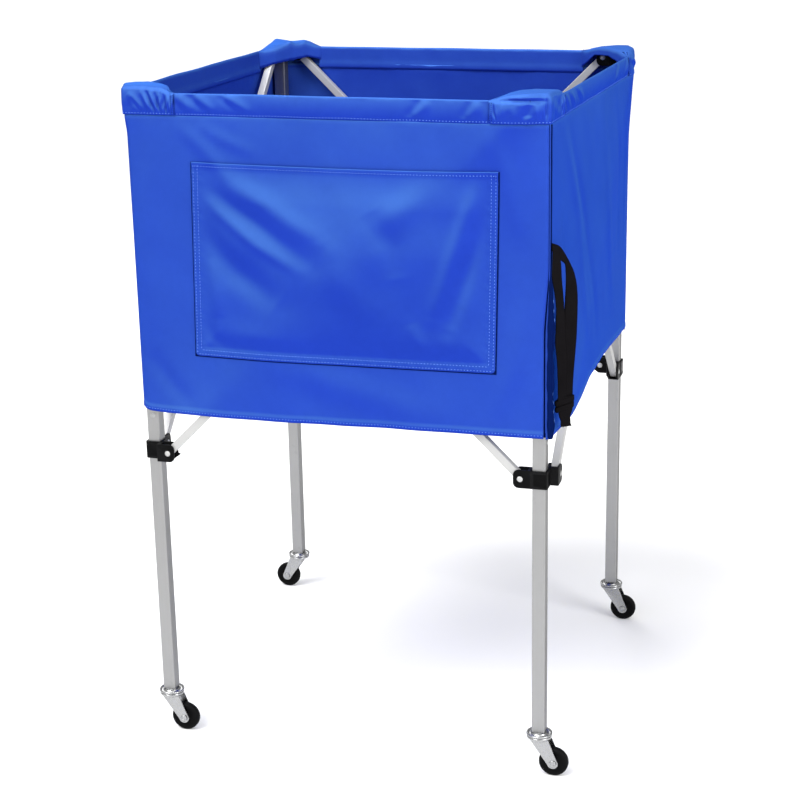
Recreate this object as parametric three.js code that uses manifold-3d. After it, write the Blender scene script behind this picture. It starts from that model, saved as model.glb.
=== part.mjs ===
import * as THREE from "three";
import { ConvexGeometry } from "three/addons/geometries/ConvexGeometry.js";
import { mergeVertices } from "three/addons/utils/BufferGeometryUtils.js";
import Module from "manifold-3d";

// A square ball cart: four tube legs on swivel casters, a scissor of two bars on each side that
// lets the whole frame close like a bundle, and a cloth basket hung round the upper half.
// Millimetres, +Z up, the ground at z = 0 and the middle of the cart on the Z axis.
// Corner 0 is front left and side 0 is the front. The others follow by quarter turns about Z.

// Legs: square tubes
const legSpan = 630; // outer face to outer face of two neighbouring legs
const legSide = 20;
const legWall = 1.5;
const legEdgeRadius = 1.5;
const legFoot = 73;
const legRise = 8; // of its top above the rim

// Scissor bars: square tubes, riveted at both ends and where they cross
const barSide = 12;
const barWall = 1.3;
const barEdgeRadius = 0.8;
const barTail = 8; // past the middle of the end rivet
const barPairInset = 0.7; // from a leg's outer face to the gap between two crossing bars
const barGap = 0.6;
const sliderPinHeight = 481;
const topPinDrop = 9; // of the top rivets below the rim
const rivetRadius = 2.5;
const rivetHeadRadius = 4.2;
const rivetHeadHeight = 1.2;

// Corner brackets: one moulding, used upright as the slider and turned over at the top
const bracketHeight = 27;
const bracketWall = 3;
const bracketEdgeRadius = 2.5;
const bracketRibHeight = 4; // band left proud at each end of the sleeve
const bracketRibDepth = 0.6;
const cheekWall = 3;
const cheekHeight = 28;
const cheekReach = 10.4; // past the middle of the rivet
const cheekEdgeRadius = 8;
const pinReach = 28; // from the middle of the leg to the rivet
const clevisRoot = 3.2; // solid from the sleeve to the slot between the cheeks
const clevisFloor = 2.2;
const lipLength = 4;
const lipHeight = 9;
const lipThickness = 2.2;

// Clearances
const runningClearance = 0.3;
const seatGap = 0.3;
const cutOverrun = 1;

// Casters
const wheelRadius = 23;
const wheelWidth = 16;
const wheelHubRadius = 9;
const wheelRelief = 2; // of the disc between hub and tread
const wheelEdge = 2;
const wheelSideClearance = 0.8;
const wheelTrail = 22.8;
const axleRadius = 3;
const axleHeadRadius = 5;
const axleHeadHeight = 1.6;
const forkPlate = 2;
const forkCrownRadius = 19.5;
const forkCrownBottom = 60.5;
const forkCrownTop = 66.3;
const forkEyeRadius = 8.5;
const forkRear = 15; // from the swivel axis to the cheeks' rear edge under the crown
const forkFront = 16;
const raceTopRadius = 14;
const raceRadius = 20;
const raceLip = 1.8;
const raceTop = 70.4;
const stemRadius = 4.5;
const kingpinRadius = 3;
const kingpinHeadRadius = 5.5;
const kingpinHeadHeight = 1.6;
const plugDepth = 26;
const plugRibs = 3;
const plugRibDepth = 1.2;
const plugRibHeight = 3;
const plugCollar = 2;

// Rivet through each leg just below the basket
const legRivetDrop = 9;

// Basket cloth
const clothThickness = 1.6;
const hemThickness = 1.2; // added where the rim is folded over
const hemDepth = 35;
const rimHeight = 1034;
const basketRise = 65; // of its lower edge above the sliders' rivets
const wallRowStep = 32; // the wall's surface is laid out in rows about this far apart
const wallArch = { front: 2, right: 23, back: 10, left: 13 }; // rise of the lower edge
const wallArchMargin = 42; // straight bottom edge next to each leg
const hoodLength = 78; // from the leg's outer face along the rim
const hoodThickness = 1.4;
const hoodSkirtRise = 31; // inner band ends this far above the outer one
const hoodClearance = 3; // from the bracket's arms to the cloth drawn round them
const bulgeClearance = 0.6; // from the outermost rivet head to the hood
const floorRise = 42; // above the basket's lower edge
const floorSag = 12;
const floorCornerSetback = 26; // from the bars to where the floor's corners are cut away

// Front pocket
const pocketWidth = 463;
const pocketHeight = 293;
const pocketCentre = 18;
const pocketDrop = 99; // of its upper edge below the rim
const pocketLean = 7; // its lower edge sits this far to the left of the upper one
const pocketThickness = 2.4;

// Carrying strap: a flat loop of webbing sewn to the edge of the right wall. Its outlines are
// [from the sewn edge, below the rim].
const strapThickness = 2.4;
const strapTurn = 58; // degrees from the front wall's plane
const strapOuterEdge = [
  [5.2, 198], [24.4, 208], [31.8, 222], [46.5, 243], [51.2, 263], [51.7, 292],
  [50.3, 324], [46.9, 352], [44.5, 382], [44.1, 429], [41.7, 469],
];
const strapInnerEdge = [
  [10, 469], [14.2, 431], [15, 383], [11, 360], [8.8, 339], [12.3, 323],
  [10.5, 294], [4.4, 252], [0, 234], [0, 198],
];
const strapSlot = [[19.2, 225], [29.2, 228], [26.1, 302]];
const strapTabWidth = 12;
const strapTabBottom = 232;
const strapTabTop = 204;
const keeperBottom = 444;
const keeperHeight = 20;
const keeperWall = 1.6;
const keeperInnerEdge = 12.6;
const keeperOuterEdge = 44.8;

// Facets
const pinFacets = 8;
const headFacets = 8;
const wheelFacets = 24;
const crownFacets = 16;
const archSteps = 10;
const edgeSteps = 2; // half the steps round a quarter turn
const fineEdgeSteps = 1; // for the tubes' small edge radii

// Worked-out sizes shared by several pieces
const legCentre = legSpan / 2 - legSide / 2;
const legTop = rimHeight + legRise;
const topPinHeight = rimHeight - topPinDrop;
const basketBottom = sliderPinHeight + basketRise;
const legRivetHeight = basketBottom - legRivetDrop;
const floorHeight = basketBottom + floorRise;
const pocketBottom = rimHeight - pocketDrop - pocketHeight;
const barPairPlane = legSpan / 2 - barPairInset;
const innerPlane = barPairPlane - (barSide + barGap) / 2;
const outerPlane = barPairPlane + (barSide + barGap) / 2;
const pinSpan = 2 * (legCentre - pinReach);
const pinRise = topPinHeight - sliderPinHeight;
const barLength = Math.hypot(pinSpan, pinRise);
const barAngle = Math.atan2(pinRise, pinSpan);
const barHalfChord = barSide / 2 / Math.sin(barAngle); // half a bar's width, measured level
const cheekInner = barSide / 2 + runningClearance;
const cheekOuter = cheekInner + cheekWall;
const channelHalf = legSide / 2 + runningClearance;
const sleeveHalf = channelHalf + bracketWall;
const clothInner = legCentre + sleeveHalf + seatGap;
const rivetHead = seatGap + rivetHeadHeight;
const ridgeInner = outerPlane + barSide / 2 + rivetHead + seatGap;
const hoodBulge = outerPlane + cheekOuter + rivetHead + bulgeClearance + hoodThickness;
const hemBottom = rimHeight - hemDepth;
const wheelSide = wheelWidth / 2 + wheelSideClearance;
const armTip = legCentre - pinReach - cheekReach - lipLength; // from the middle of the cart

const finishes = {
  legs: { color: 0xb4b6ba, roughness: 0.42, metalness: 0.85 },
  bars: { color: 0xc9cbce, roughness: 0.38, metalness: 0.85 },
  moulding: { color: 0x141415, roughness: 0.55, metalness: 0 },
  chrome: { color: 0xdfe1e4, roughness: 0.16, metalness: 1 },
  rivets: { color: 0xe4e5e6, roughness: 0.25, metalness: 1 },
  wheels: { color: 0x17171a, roughness: 0.6, metalness: 0 },
  cloth: { color: 0x2a52c8, roughness: 0.55, metalness: 0 },
  webbing: { color: 0x121214, roughness: 0.85, metalness: 0 },
};

const corners = ["front_left", "front_right", "back_right", "back_left"];
const sides = ["front", "right", "back", "left"];

const wasm = await Module();
wasm.setup();

// The closed body of a geometry, facing out whichever way round its profile was drawn
function solid(geometry) {
  const bare = geometry.index ? geometry.toNonIndexed() : geometry.clone();
  bare.deleteAttribute("normal");
  bare.deleteAttribute("uv");
  const merged = mergeVertices(bare);
  const triangles = [];
  for (let at = 0; at < merged.index.count; at += 3) {
    const [a, b, c] = merged.index.array.slice(at, at + 3);
    if (a !== b && b !== c && c !== a) triangles.push(a, b, c);
  }
  const body = (order) =>
    new wasm.Manifold(
      new wasm.Mesh({
        numProp: 3,
        vertProperties: merged.attributes.position.array,
        triVerts: new Uint32Array(order),
      }),
    );
  const made = body(triangles);
  return made.volume() < 0 ? body(triangles.reverse()) : made;
}

function geometryOf(made) {
  const mesh = made.getMesh();
  const geometry = new THREE.BufferGeometry();
  geometry.setAttribute("position", new THREE.BufferAttribute(mesh.vertProperties, 3));
  geometry.setIndex(new THREE.BufferAttribute(mesh.triVerts, 1));
  return geometry;
}

function join(...pieces) {
  return geometryOf(pieces.map(solid).reduce((whole, piece) => whole.add(piece)));
}

function cut(body, ...tools) {
  const start = solid(body);
  return geometryOf(tools.map(solid).reduce((whole, tool) => whole.subtract(tool), start));
}

function box(low, high) {
  const size = high.map((value, axis) => value - low[axis]);
  const middle = high.map((value, axis) => (value + low[axis]) / 2);
  return new THREE.BoxGeometry(...size).translate(...middle);
}

// A cylinder along Z between two heights
function rod(radius, low, high) {
  return new THREE.CylinderGeometry(radius, radius, high - low, pinFacets)
    .rotateX(Math.PI / 2)
    .translate(0, 0, (low + high) / 2);
}

// Turns what was drawn along Z so that it lies along Y
function alongY(geometry) {
  return geometry.rotateX(-Math.PI / 2);
}

// A profile of [radius, height] pairs turned about Z
function turned(profile, facets) {
  const points = profile.map(([radius, height]) => new THREE.Vector2(radius, height));
  return new THREE.LatheGeometry(points, facets).rotateX(Math.PI / 2);
}

function extrude(shape, depth, curveSegments = edgeSteps) {
  return new THREE.ExtrudeGeometry(shape, { depth, bevelEnabled: false, curveSegments });
}

// A plate drawn in the XZ plane, from one y to another
function upright(shape, from, to) {
  return extrude(shape, to - from).rotateX(Math.PI / 2).translate(0, to, 0);
}

function outline(points) {
  return points.map(([x, y]) => new THREE.Vector2(x, y));
}

function roundedSquare(side, radius) {
  const inset = side / 2 - radius;
  const shape = new THREE.Shape();
  shape.absarc(inset, -inset, radius, -Math.PI / 2, 0, false);
  shape.absarc(inset, inset, radius, 0, Math.PI / 2, false);
  shape.absarc(-inset, inset, radius, Math.PI / 2, Math.PI, false);
  shape.absarc(-inset, -inset, radius, Math.PI, Math.PI * 1.5, false);
  return shape;
}

// A hollow square tube along Z
function squareTube(side, wall, edgeRadius, low, high) {
  const inner = side / 2 - wall;
  const bore = box([-inner, -inner, low - cutOverrun], [inner, inner, high + cutOverrun]);
  const outer = extrude(roundedSquare(side, edgeRadius), high - low, fineEdgeSteps);
  return cut(outer.translate(0, 0, low), bore);
}

// A low dome on the plane z = 0
function domedHead(radius, height) {
  const profile = [[0, 0]];
  for (let step = 0; step < edgeSteps; step++) {
    const turn = (step / edgeSteps) * (Math.PI / 2);
    profile.push([radius * Math.cos(turn), height * Math.sin(turn)]);
  }
  profile.push([0, height]);
  return turned(profile, headFacets);
}

// A headed pin along Y through a stack that lies between two values of y
function headedPin(radius, headRadius, headHeight, low, high) {
  return [
    alongY(rod(radius, low - seatGap, high + seatGap)),
    domedHead(headRadius, headHeight).rotateX(Math.PI / 2).translate(0, low - seatGap, 0),
    alongY(domedHead(headRadius, headHeight)).translate(0, high + seatGap, 0),
  ];
}

function rivet(low, high) {
  return headedPin(rivetRadius, rivetHeadRadius, rivetHeadHeight, low, high);
}

function rivetBore(low, high) {
  return alongY(rod(rivetRadius + runningClearance, low - cutOverrun, high + cutOverrun));
}

// Legs

function leg() {
  const tube = squareTube(legSide, legWall, legEdgeRadius, legFoot, legTop);
  return cut(tube, rivetBore(-legSide, legSide).translate(0, 0, legRivetHeight));
}

function legRivet() {
  return join(...rivet(-legSide / 2, legSide / 2));
}

// Corner bracket, upright: the sleeve on the leg and two clevises that open upwards and away
// from the leg. The +X clevis holds the bar in the outer plane, the +Y clevis the inner one.

// One cheek in the clevis's own plane: X away from the leg, Y up from the rivet
function cheek(withLip) {
  const half = cheekHeight / 2;
  const end = pinReach + cheekReach;
  const rounding = end - cheekEdgeRadius;
  const shape = new THREE.Shape();
  shape.moveTo(channelHalf, -half);
  shape.lineTo(rounding, -half);
  if (withLip) {
    shape.lineTo(end + lipLength, -half + lipHeight);
    shape.lineTo(end, -half + lipHeight + lipThickness);
  } else {
    shape.absarc(rounding, -half + cheekEdgeRadius, cheekEdgeRadius, -Math.PI / 2, 0, false);
  }
  shape.absarc(rounding, half - cheekEdgeRadius, cheekEdgeRadius, 0, Math.PI / 2, false);
  shape.lineTo(channelHalf, half);
  return shape;
}

// The pieces of a clevis along +X, its slot in the plane y = middle and its lip towards +Y
function clevis(middle) {
  const half = cheekHeight / 2;
  const root = sleeveHalf + clevisRoot;
  const floorEnd = pinReach + cheekReach - cheekEdgeRadius;
  const low = middle - cheekOuter;
  const high = middle + cheekOuter;
  return [
    upright(cheek(false), low, middle - cheekInner),
    upright(cheek(true), middle + cheekInner, high),
    box([channelHalf, low, -half], [root, high, half]),
    box([channelHalf, low, -half], [floorEnd, high, -half + clevisFloor]),
  ];
}

function clevisBore(middle) {
  return rivetBore(middle - cheekOuter, middle + cheekOuter).translate(pinReach, 0, 0);
}

// Swaps X and Y, which turns a clevis along +X into its opposite hand along +Y
function swapped(geometry) {
  const swap = new THREE.Matrix4().makeBasis(
    new THREE.Vector3(0, 1, 0),
    new THREE.Vector3(1, 0, 0),
    new THREE.Vector3(0, 0, 1),
  );
  return geometry.clone().applyMatrix4(swap);
}

function bracket() {
  const half = bracketHeight / 2;
  const outer = legCentre - outerPlane;
  const inner = legCentre - innerPlane;
  const sleeveShape = roundedSquare(2 * sleeveHalf, bracketEdgeRadius);
  const sleeve = extrude(sleeveShape, bracketHeight, fineEdgeSteps);
  const body = join(
    sleeve.translate(0, 0, -half),
    ...clevis(outer),
    ...clevis(inner).map(swapped),
  );
  const channelShape = roundedSquare(2 * channelHalf, legEdgeRadius);
  const channel = extrude(channelShape, 2 * cheekHeight, fineEdgeSteps);
  const waist = half - bracketRibHeight;
  const recess = box(
    [-sleeveHalf - cutOverrun, -sleeveHalf - cutOverrun, -waist],
    [channelHalf - bracketWall, -sleeveHalf + bracketRibDepth, waist],
  );
  return cut(
    body,
    channel.translate(0, 0, -cheekHeight),
    clevisBore(outer),
    swapped(clevisBore(inner)),
    recess,
    swapped(recess),
  );
}

// Scissor bars

// A bar in the plane y = 0, level and centred, with its end rivets through both cheeks
function bar() {
  const half = barLength / 2 + barTail;
  const tube = squareTube(barSide, barWall, barEdgeRadius, -half, half).rotateY(Math.PI / 2);
  const ends = [-barLength / 2, barLength / 2].flatMap((place) =>
    rivet(-cheekOuter, cheekOuter).map((piece) => piece.translate(place, 0, 0)),
  );
  return join(cut(tube, rivetBore(-barSide, barSide)), ...ends);
}

// Through both bars where they cross
function crossRivet() {
  return join(...rivet(-outerPlane - barSide / 2, -innerPlane + barSide / 2));
}

// Casters

// Fixed half: a ribbed plug in the leg's foot, the upper race under it and the kingpin
function casterStem() {
  const rib = legSide / 2 - legWall - seatGap;
  const core = rib - plugRibDepth;
  const plugTop = legFoot + plugDepth;
  const collarShape = roundedSquare(legSide, legEdgeRadius);
  const collar = extrude(collarShape, plugCollar - seatGap, fineEdgeSteps);
  const raceBottom = forkCrownTop + seatGap;
  const race = turned([
    [0, raceBottom],
    [raceRadius, raceBottom],
    [raceRadius, raceBottom + raceLip],
    [raceTopRadius, raceTop],
    [0, raceTop],
  ], crownFacets);
  const ribs = [];
  for (let index = 0; index < plugRibs; index++) {
    const travel = plugDepth - plugRibHeight - seatGap;
    const low = legFoot + seatGap + (travel * index) / (plugRibs - 1);
    ribs.push(box([-rib, -rib, low], [rib, rib, low + plugRibHeight]));
  }
  const headTop = forkCrownBottom - seatGap;
  return join(
    box([-core, -core, legFoot - plugCollar], [core, core, plugTop]),
    ...ribs,
    collar.translate(0, 0, legFoot - plugCollar),
    rod(stemRadius, raceBottom, legFoot),
    race,
    rod(kingpinRadius, headTop - kingpinHeadHeight, raceTop),
    rod(kingpinHeadRadius, headTop - kingpinHeadHeight, headTop),
  );
}

// Stamped fork: a domed crown and two cheeks that reach down and out to the axle along +X
function fork() {
  const hole = kingpinRadius + runningClearance;
  const shoulder = forkCrownRadius - forkPlate;
  const crown = turned([
    [hole, forkCrownBottom],
    [shoulder, forkCrownBottom],
    [forkCrownRadius, (forkCrownBottom + forkCrownTop) / 2],
    [shoulder, forkCrownTop],
    [hole, forkCrownTop],
    [hole, forkCrownBottom],
  ], crownFacets);
  const edge = [[-forkRear, forkCrownBottom + forkPlate], [forkFront, forkCrownBottom + forkPlate]];
  for (let step = 0; step < pinFacets; step++) {
    const turn = (step / pinFacets) * Math.PI * 2;
    const across = wheelTrail + forkEyeRadius * Math.cos(turn);
    edge.push([across, wheelRadius + forkEyeRadius * Math.sin(turn)]);
  }
  const cheeks = [-wheelSide - forkPlate, wheelSide].map((from) =>
    new ConvexGeometry(
      edge.flatMap(([x, z]) => [
        new THREE.Vector3(x, from, z),
        new THREE.Vector3(x, from + forkPlate, z),
      ]),
    ),
  );
  const bore = alongY(rod(axleRadius + runningClearance, -wheelWidth, wheelWidth));
  return cut(join(crown, ...cheeks), bore.translate(wheelTrail, 0, wheelRadius));
}

// Wheel about its own axle along Y
function wheel() {
  const half = wheelWidth / 2;
  const bore = axleRadius + runningClearance;
  const side = [
    [bore, half],
    [wheelHubRadius, half],
    [wheelHubRadius + wheelRelief, half - wheelRelief],
    [wheelRadius - wheelEdge, half - wheelRelief],
    [wheelRadius, half - wheelRelief - wheelEdge],
  ];
  const far = side.map(([radius, place]) => [radius, -place]).reverse();
  return join(alongY(turned([...side, ...far, side[0]], wheelFacets)));
}

function axle() {
  const face = wheelSide + forkPlate;
  return join(...headedPin(axleRadius, axleHeadRadius, axleHeadHeight, -face, face));
}

// Basket cloth. Each wall is pushed out along the outer bar's slope, from one leg to the other.
// Along a wall, place runs from its middle to its right end.

function ridgePlace(height) {
  const reached = Math.min(height, hemBottom, topPinHeight);
  return -pinSpan / 2 + (reached - sliderPinHeight) / Math.tan(barAngle);
}

// How far the wall's inner surface stands from the middle of the cart
function wallInnerAt(height, place) {
  const left = ridgePlace(height) - barHalfChord;
  const right = ridgePlace(height) + barHalfChord;
  const fromLeft = (place + clothInner) / (left + clothInner);
  const fromRight = (clothInner - place) / (clothInner - right);
  const share = THREE.MathUtils.clamp(Math.min(fromLeft, fromRight), 0, 1);
  return clothInner + (ridgeInner - clothInner) * share;
}

function rowHeights(low, high) {
  const steps = Math.ceil((high - low) / wallRowStep);
  return Array.from({ length: steps + 1 }, (_, step) => low + ((high - low) * step) / steps);
}

// A closed skin between an inner and an outer grid of points, as rows from the bottom up
function skin(inner, outer) {
  const columns = inner[0].length;
  const rows = inner.length;
  const at = (layer, row, column) => (layer * rows + row) * columns + column;
  const faces = [];
  const quad = (a, b, c, d) => faces.push(a, b, c, a, c, d);
  const right = columns - 1;
  const top = rows - 1;
  for (let row = 0; row < top; row++) {
    for (let column = 0; column < right; column++) {
      const [up, next] = [row + 1, column + 1];
      quad(at(0, row, column), at(0, up, column), at(0, up, next), at(0, row, next));
      quad(at(1, row, column), at(1, row, next), at(1, up, next), at(1, up, column));
    }
    quad(at(0, row, 0), at(1, row, 0), at(1, row + 1, 0), at(0, row + 1, 0));
    quad(at(0, row, right), at(0, row + 1, right), at(1, row + 1, right), at(1, row, right));
  }
  for (let column = 0; column < right; column++) {
    const next = column + 1;
    quad(at(0, 0, column), at(0, 0, next), at(1, 0, next), at(1, 0, column));
    quad(at(0, top, column), at(1, top, column), at(1, top, next), at(0, top, next));
  }
  const geometry = new THREE.BufferGeometry();
  const places = [...inner, ...outer].flat(2);
  geometry.setAttribute("position", new THREE.Float32BufferAttribute(places, 3));
  geometry.setIndex(faces);
  return geometry;
}

// A skin that follows the front wall between two ends, from one offset to another
function clothPanel(heights, ends, from, to) {
  const rows = (offset) =>
    heights.map((height) => {
      const [left, right] = ends(height);
      const ridge = [ridgePlace(height) - barHalfChord, ridgePlace(height) + barHalfChord];
      const places = [left, ...ridge.filter((place) => place > left && place < right), right];
      return places.map((place) => [place, -wallInnerAt(height, place) - offset, height]);
    });
  return skin(rows(from), rows(to));
}

function wall(side) {
  const heights = [...rowHeights(basketBottom, hemBottom), rimHeight];
  const fullWidth = [-clothInner - clothThickness, clothInner - seatGap];
  const sheet = clothPanel(heights, () => fullWidth, 0, clothThickness);
  const hoodEdge = legSpan / 2 - hoodLength - seatGap;
  const hem = clothPanel(
    [hemBottom, rimHeight],
    () => [-hoodEdge, hoodEdge],
    clothThickness / 2,
    clothThickness + hemThickness,
  );
  const underHood = [[-legSpan, -hoodEdge], [hoodEdge, legSpan]].map(([near, far]) =>
    box([near, -legSpan, hemBottom - seatGap], [far, 0, rimHeight + cutOverrun]),
  );
  const archHalf = legSpan / 2 - wallArchMargin;
  const arch = new THREE.Shape();
  arch.moveTo(-archHalf, basketBottom - cutOverrun);
  arch.lineTo(archHalf, basketBottom - cutOverrun);
  arch.lineTo(archHalf, basketBottom);
  arch.quadraticCurveTo(0, basketBottom + 2 * wallArch[side], -archHalf, basketBottom);
  const archTool = extrude(arch, legSpan, archSteps).rotateX(Math.PI / 2);
  return cut(join(cut(sheet, ...underHood), hem), archTool);
}

// Hood over the front left leg's upper end: the rim's fold opened out round the bracket

function hoodHull(inset, bottom) {
  const plain = clothInner + clothThickness + hemThickness / 2 - inset;
  const bulge = hoodBulge - inset;
  const seam = legSpan / 2 - hoodLength + inset;
  const hem = clothThickness + hemThickness - inset;
  const drawn = armTip - hoodClearance + inset;
  const corner = [-plain, -plain];
  const frontSeam = [-seam, -wallInnerAt(rimHeight, -seam) - hem];
  const leftSeam = [-wallInnerAt(rimHeight, seam) - hem, -seam];
  const roundInnerArm = [-drawn, -(innerPlane - cheekOuter - hoodClearance + inset)];
  const roundOuterArm = [-(outerPlane - cheekOuter - hoodClearance + inset), -drawn];
  const bulgeNear = [-bulge, -drawn];
  const bulgeFar = [-bulge, -(legCentre - sleeveHalf)];
  const drawnFront = [-drawn, -plain];
  const rim = [corner, frontSeam, roundInnerArm, roundOuterArm, leftSeam, bulgeNear, bulgeFar];
  const roof = [corner, drawnFront, roundInnerArm, roundOuterArm, bulgeNear, bulgeFar];
  const roofHeight = legTop + seatGap + hoodThickness - inset;
  return new ConvexGeometry([
    ...rim.map(([x, y]) => new THREE.Vector3(x, y, bottom)),
    ...rim.map(([x, y]) => new THREE.Vector3(x, y, rimHeight - inset)),
    ...roof.map(([x, y]) => new THREE.Vector3(x, y, roofHeight)),
  ]);
}

function hood() {
  const bottom = hemBottom - cutOverrun;
  const band = clothInner - hoodThickness;
  const innerSkirt = box([-band, -band, bottom], [0, 0, hemBottom + hoodSkirtRise]);
  const overBar = box([-ridgeInner, -armTip, bottom], [0, 0, hemBottom + hoodSkirtRise]);
  return cut(hoodHull(0, hemBottom), hoodHull(hoodThickness, bottom), innerSkirt, overBar);
}

// Floor: two plates that meet across the middle, their corners cut away for the legs and bars

function floorHalf(front) {
  const straight = -ridgePlace(floorHeight) - barHalfChord - floorCornerSetback;
  const outward = front ? -1 : 1;
  const reach = (place) => wallInnerAt(floorHeight, place) - seatGap;
  const split = (outward * seatGap) / 2;
  const shape = new THREE.Shape(outline([
    [-reach(0), split],
    [reach(0), split],
    [reach(outward * straight), outward * straight],
    [straight, outward * reach(-outward * straight)],
    [-straight, outward * reach(outward * straight)],
    [-reach(-outward * straight), outward * straight],
  ]));
  return join(extrude(shape, clothThickness).translate(0, 0, -clothThickness));
}

// Pocket: a patch on the front wall that follows its slope

function pocket() {
  const heights = rowHeights(pocketBottom, pocketBottom + pocketHeight);
  const ends = (height) => {
    const share = (pocketBottom + pocketHeight - height) / pocketHeight;
    const middle = pocketCentre - pocketLean * share;
    return [middle - pocketWidth / 2, middle + pocketWidth / 2];
  };
  const near = clothThickness + seatGap;
  return join(clothPanel(heights, ends, near, near + pocketThickness));
}

// Strap and keeper, drawn flat with the sewn edge on the Z axis, then turned and set in place

const strapSewnHeight = rimHeight - strapTabTop;
const strapWall = wallInnerAt(strapSewnHeight, strapTabWidth - clothInner);
const strapFace = strapWall + clothThickness + seatGap;

// Turns distances below the rim into heights
function belowRim(points) {
  return outline(points.map(([across, drop]) => [across, rimHeight - drop]));
}

function hung(geometry) {
  return geometry
    .rotateZ(THREE.MathUtils.degToRad(strapTurn))
    .translate(strapFace, -clothInner + seatGap, 0);
}

function strap() {
  const shape = new THREE.Shape(belowRim([...strapOuterEdge, ...strapInnerEdge].reverse()));
  shape.holes.push(new THREE.Path(belowRim(strapSlot)));
  const tab = box(
    [strapFace, -clothInner + seatGap, rimHeight - strapTabBottom],
    [strapFace + strapThickness, -clothInner + strapTabWidth, strapSewnHeight],
  );
  return join(hung(upright(shape, -strapThickness, 0)), tab);
}

function keeper() {
  const inner = [keeperInnerEdge - seatGap, -strapThickness - seatGap];
  const outer = [keeperOuterEdge + seatGap, seatGap];
  const bottom = rimHeight - keeperBottom;
  const top = bottom + keeperHeight;
  const ring = box(
    [...inner.map((value) => value - keeperWall), bottom],
    [...outer.map((value) => value + keeperWall), top],
  );
  const bore = box([...inner, bottom - cutOverrun], [...outer, top + cutOverrun]);
  return hung(cut(ring, bore));
}

// Assembly

const cart = new THREE.Group();

function mesh(name, geometry, finish) {
  const made = new THREE.Mesh(geometry, new THREE.MeshStandardMaterial(finishes[finish]));
  made.name = name;
  return made;
}

const bracketShape = bracket();
const legShape = leg();
const legRivetShape = legRivet();
const stemShape = casterStem();
const hoodShape = hood();

corners.forEach((name, index) => {
  const corner = new THREE.Group();
  corner.rotation.z = (index * Math.PI) / 2;
  const post = new THREE.Group();
  post.position.set(-legCentre, -legCentre, 0);
  post.add(mesh(`leg_${name}`, legShape, "legs"));
  post.add(mesh(`caster_stem_${name}`, stemShape, "chrome"));

  const throughLeg = mesh(`leg_rivet_${name}`, legRivetShape, "rivets");
  throughLeg.position.z = legRivetHeight;
  post.add(throughLeg);

  const slider = mesh(`slider_${name}`, bracketShape, "moulding");
  slider.position.z = sliderPinHeight;
  post.add(slider);

  // The same moulding turned over about the corner's diagonal
  const upper = mesh(`top_bracket_${name}`, bracketShape, "moulding");
  upper.position.z = topPinHeight;
  upper.quaternion.setFromAxisAngle(new THREE.Vector3(1, 1, 0).normalize(), Math.PI);
  post.add(upper);

  corner.add(post);
  corner.add(mesh(`rim_hood_${name}`, hoodShape, "cloth"));
  cart.add(corner);
});

const barShape = bar();
const crossRivetShape = crossRivet();
const crossing = (sliderPinHeight + topPinHeight) / 2;

sides.forEach((name, index) => {
  const side = new THREE.Group();
  side.rotation.z = (index * Math.PI) / 2;

  const falling = mesh(`bar_${name}_inner`, barShape, "bars");
  falling.position.set(0, -innerPlane, crossing);
  falling.rotation.y = barAngle;
  side.add(falling);

  const rising = mesh(`bar_${name}_outer`, barShape, "bars");
  rising.position.set(0, -outerPlane, crossing);
  rising.rotation.y = -barAngle;
  side.add(rising);

  const through = mesh(`cross_rivet_${name}`, crossRivetShape, "rivets");
  through.position.z = crossing;
  side.add(through);

  side.add(mesh(`wall_${name}`, wall(name), "cloth"));
  cart.add(side);
});

const forkShape = fork();
const wheelShape = wheel();
const axleShape = axle();
const casters = [
  { name: "front_left", x: -legCentre, y: -legCentre, turn: 0 },
  { name: "front_right", x: legCentre, y: -legCentre, turn: 0 },
  { name: "back_right", x: legCentre, y: legCentre, turn: 0 },
  { name: "back_left", x: -legCentre, y: legCentre, turn: Math.PI },
];

casters.forEach(({ name, x, y, turn }) => {
  const caster = new THREE.Group();
  caster.position.set(x, y, 0);
  caster.rotation.z = turn;
  caster.add(mesh(`caster_fork_${name}`, forkShape, "chrome"));
  const rolling = new THREE.Group();
  rolling.position.set(wheelTrail, 0, wheelRadius);
  rolling.add(mesh(`caster_wheel_${name}`, wheelShape, "wheels"));
  rolling.add(mesh(`caster_axle_${name}`, axleShape, "chrome"));
  caster.add(rolling);
  cart.add(caster);
});

// Each floor half hangs from its wall and slopes down to the middle
const floorReach = wallInnerAt(floorHeight, 0);
[{ name: "floor_front", front: true }, { name: "floor_back", front: false }].forEach(
  ({ name, front }) => {
    const outward = front ? -1 : 1;
    const hinge = new THREE.Group();
    hinge.position.set(0, outward * floorReach, floorHeight);
    hinge.rotation.x = outward * Math.asin(floorSag / floorReach);
    const half = mesh(name, floorHalf(front), "cloth");
    half.position.y = -outward * floorReach;
    hinge.add(half);
    cart.add(hinge);
  },
);

cart.add(mesh("front_pocket", pocket(), "cloth"));
cart.add(mesh("carry_strap", strap(), "webbing"));
cart.add(mesh("strap_keeper", keeper(), "webbing"));

export default cart;
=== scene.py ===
import math

import bmesh
import bpy
import numpy as np
from bpy.props import FloatProperty, FloatVectorProperty, PointerProperty
from mathutils import Matrix, Vector


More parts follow.
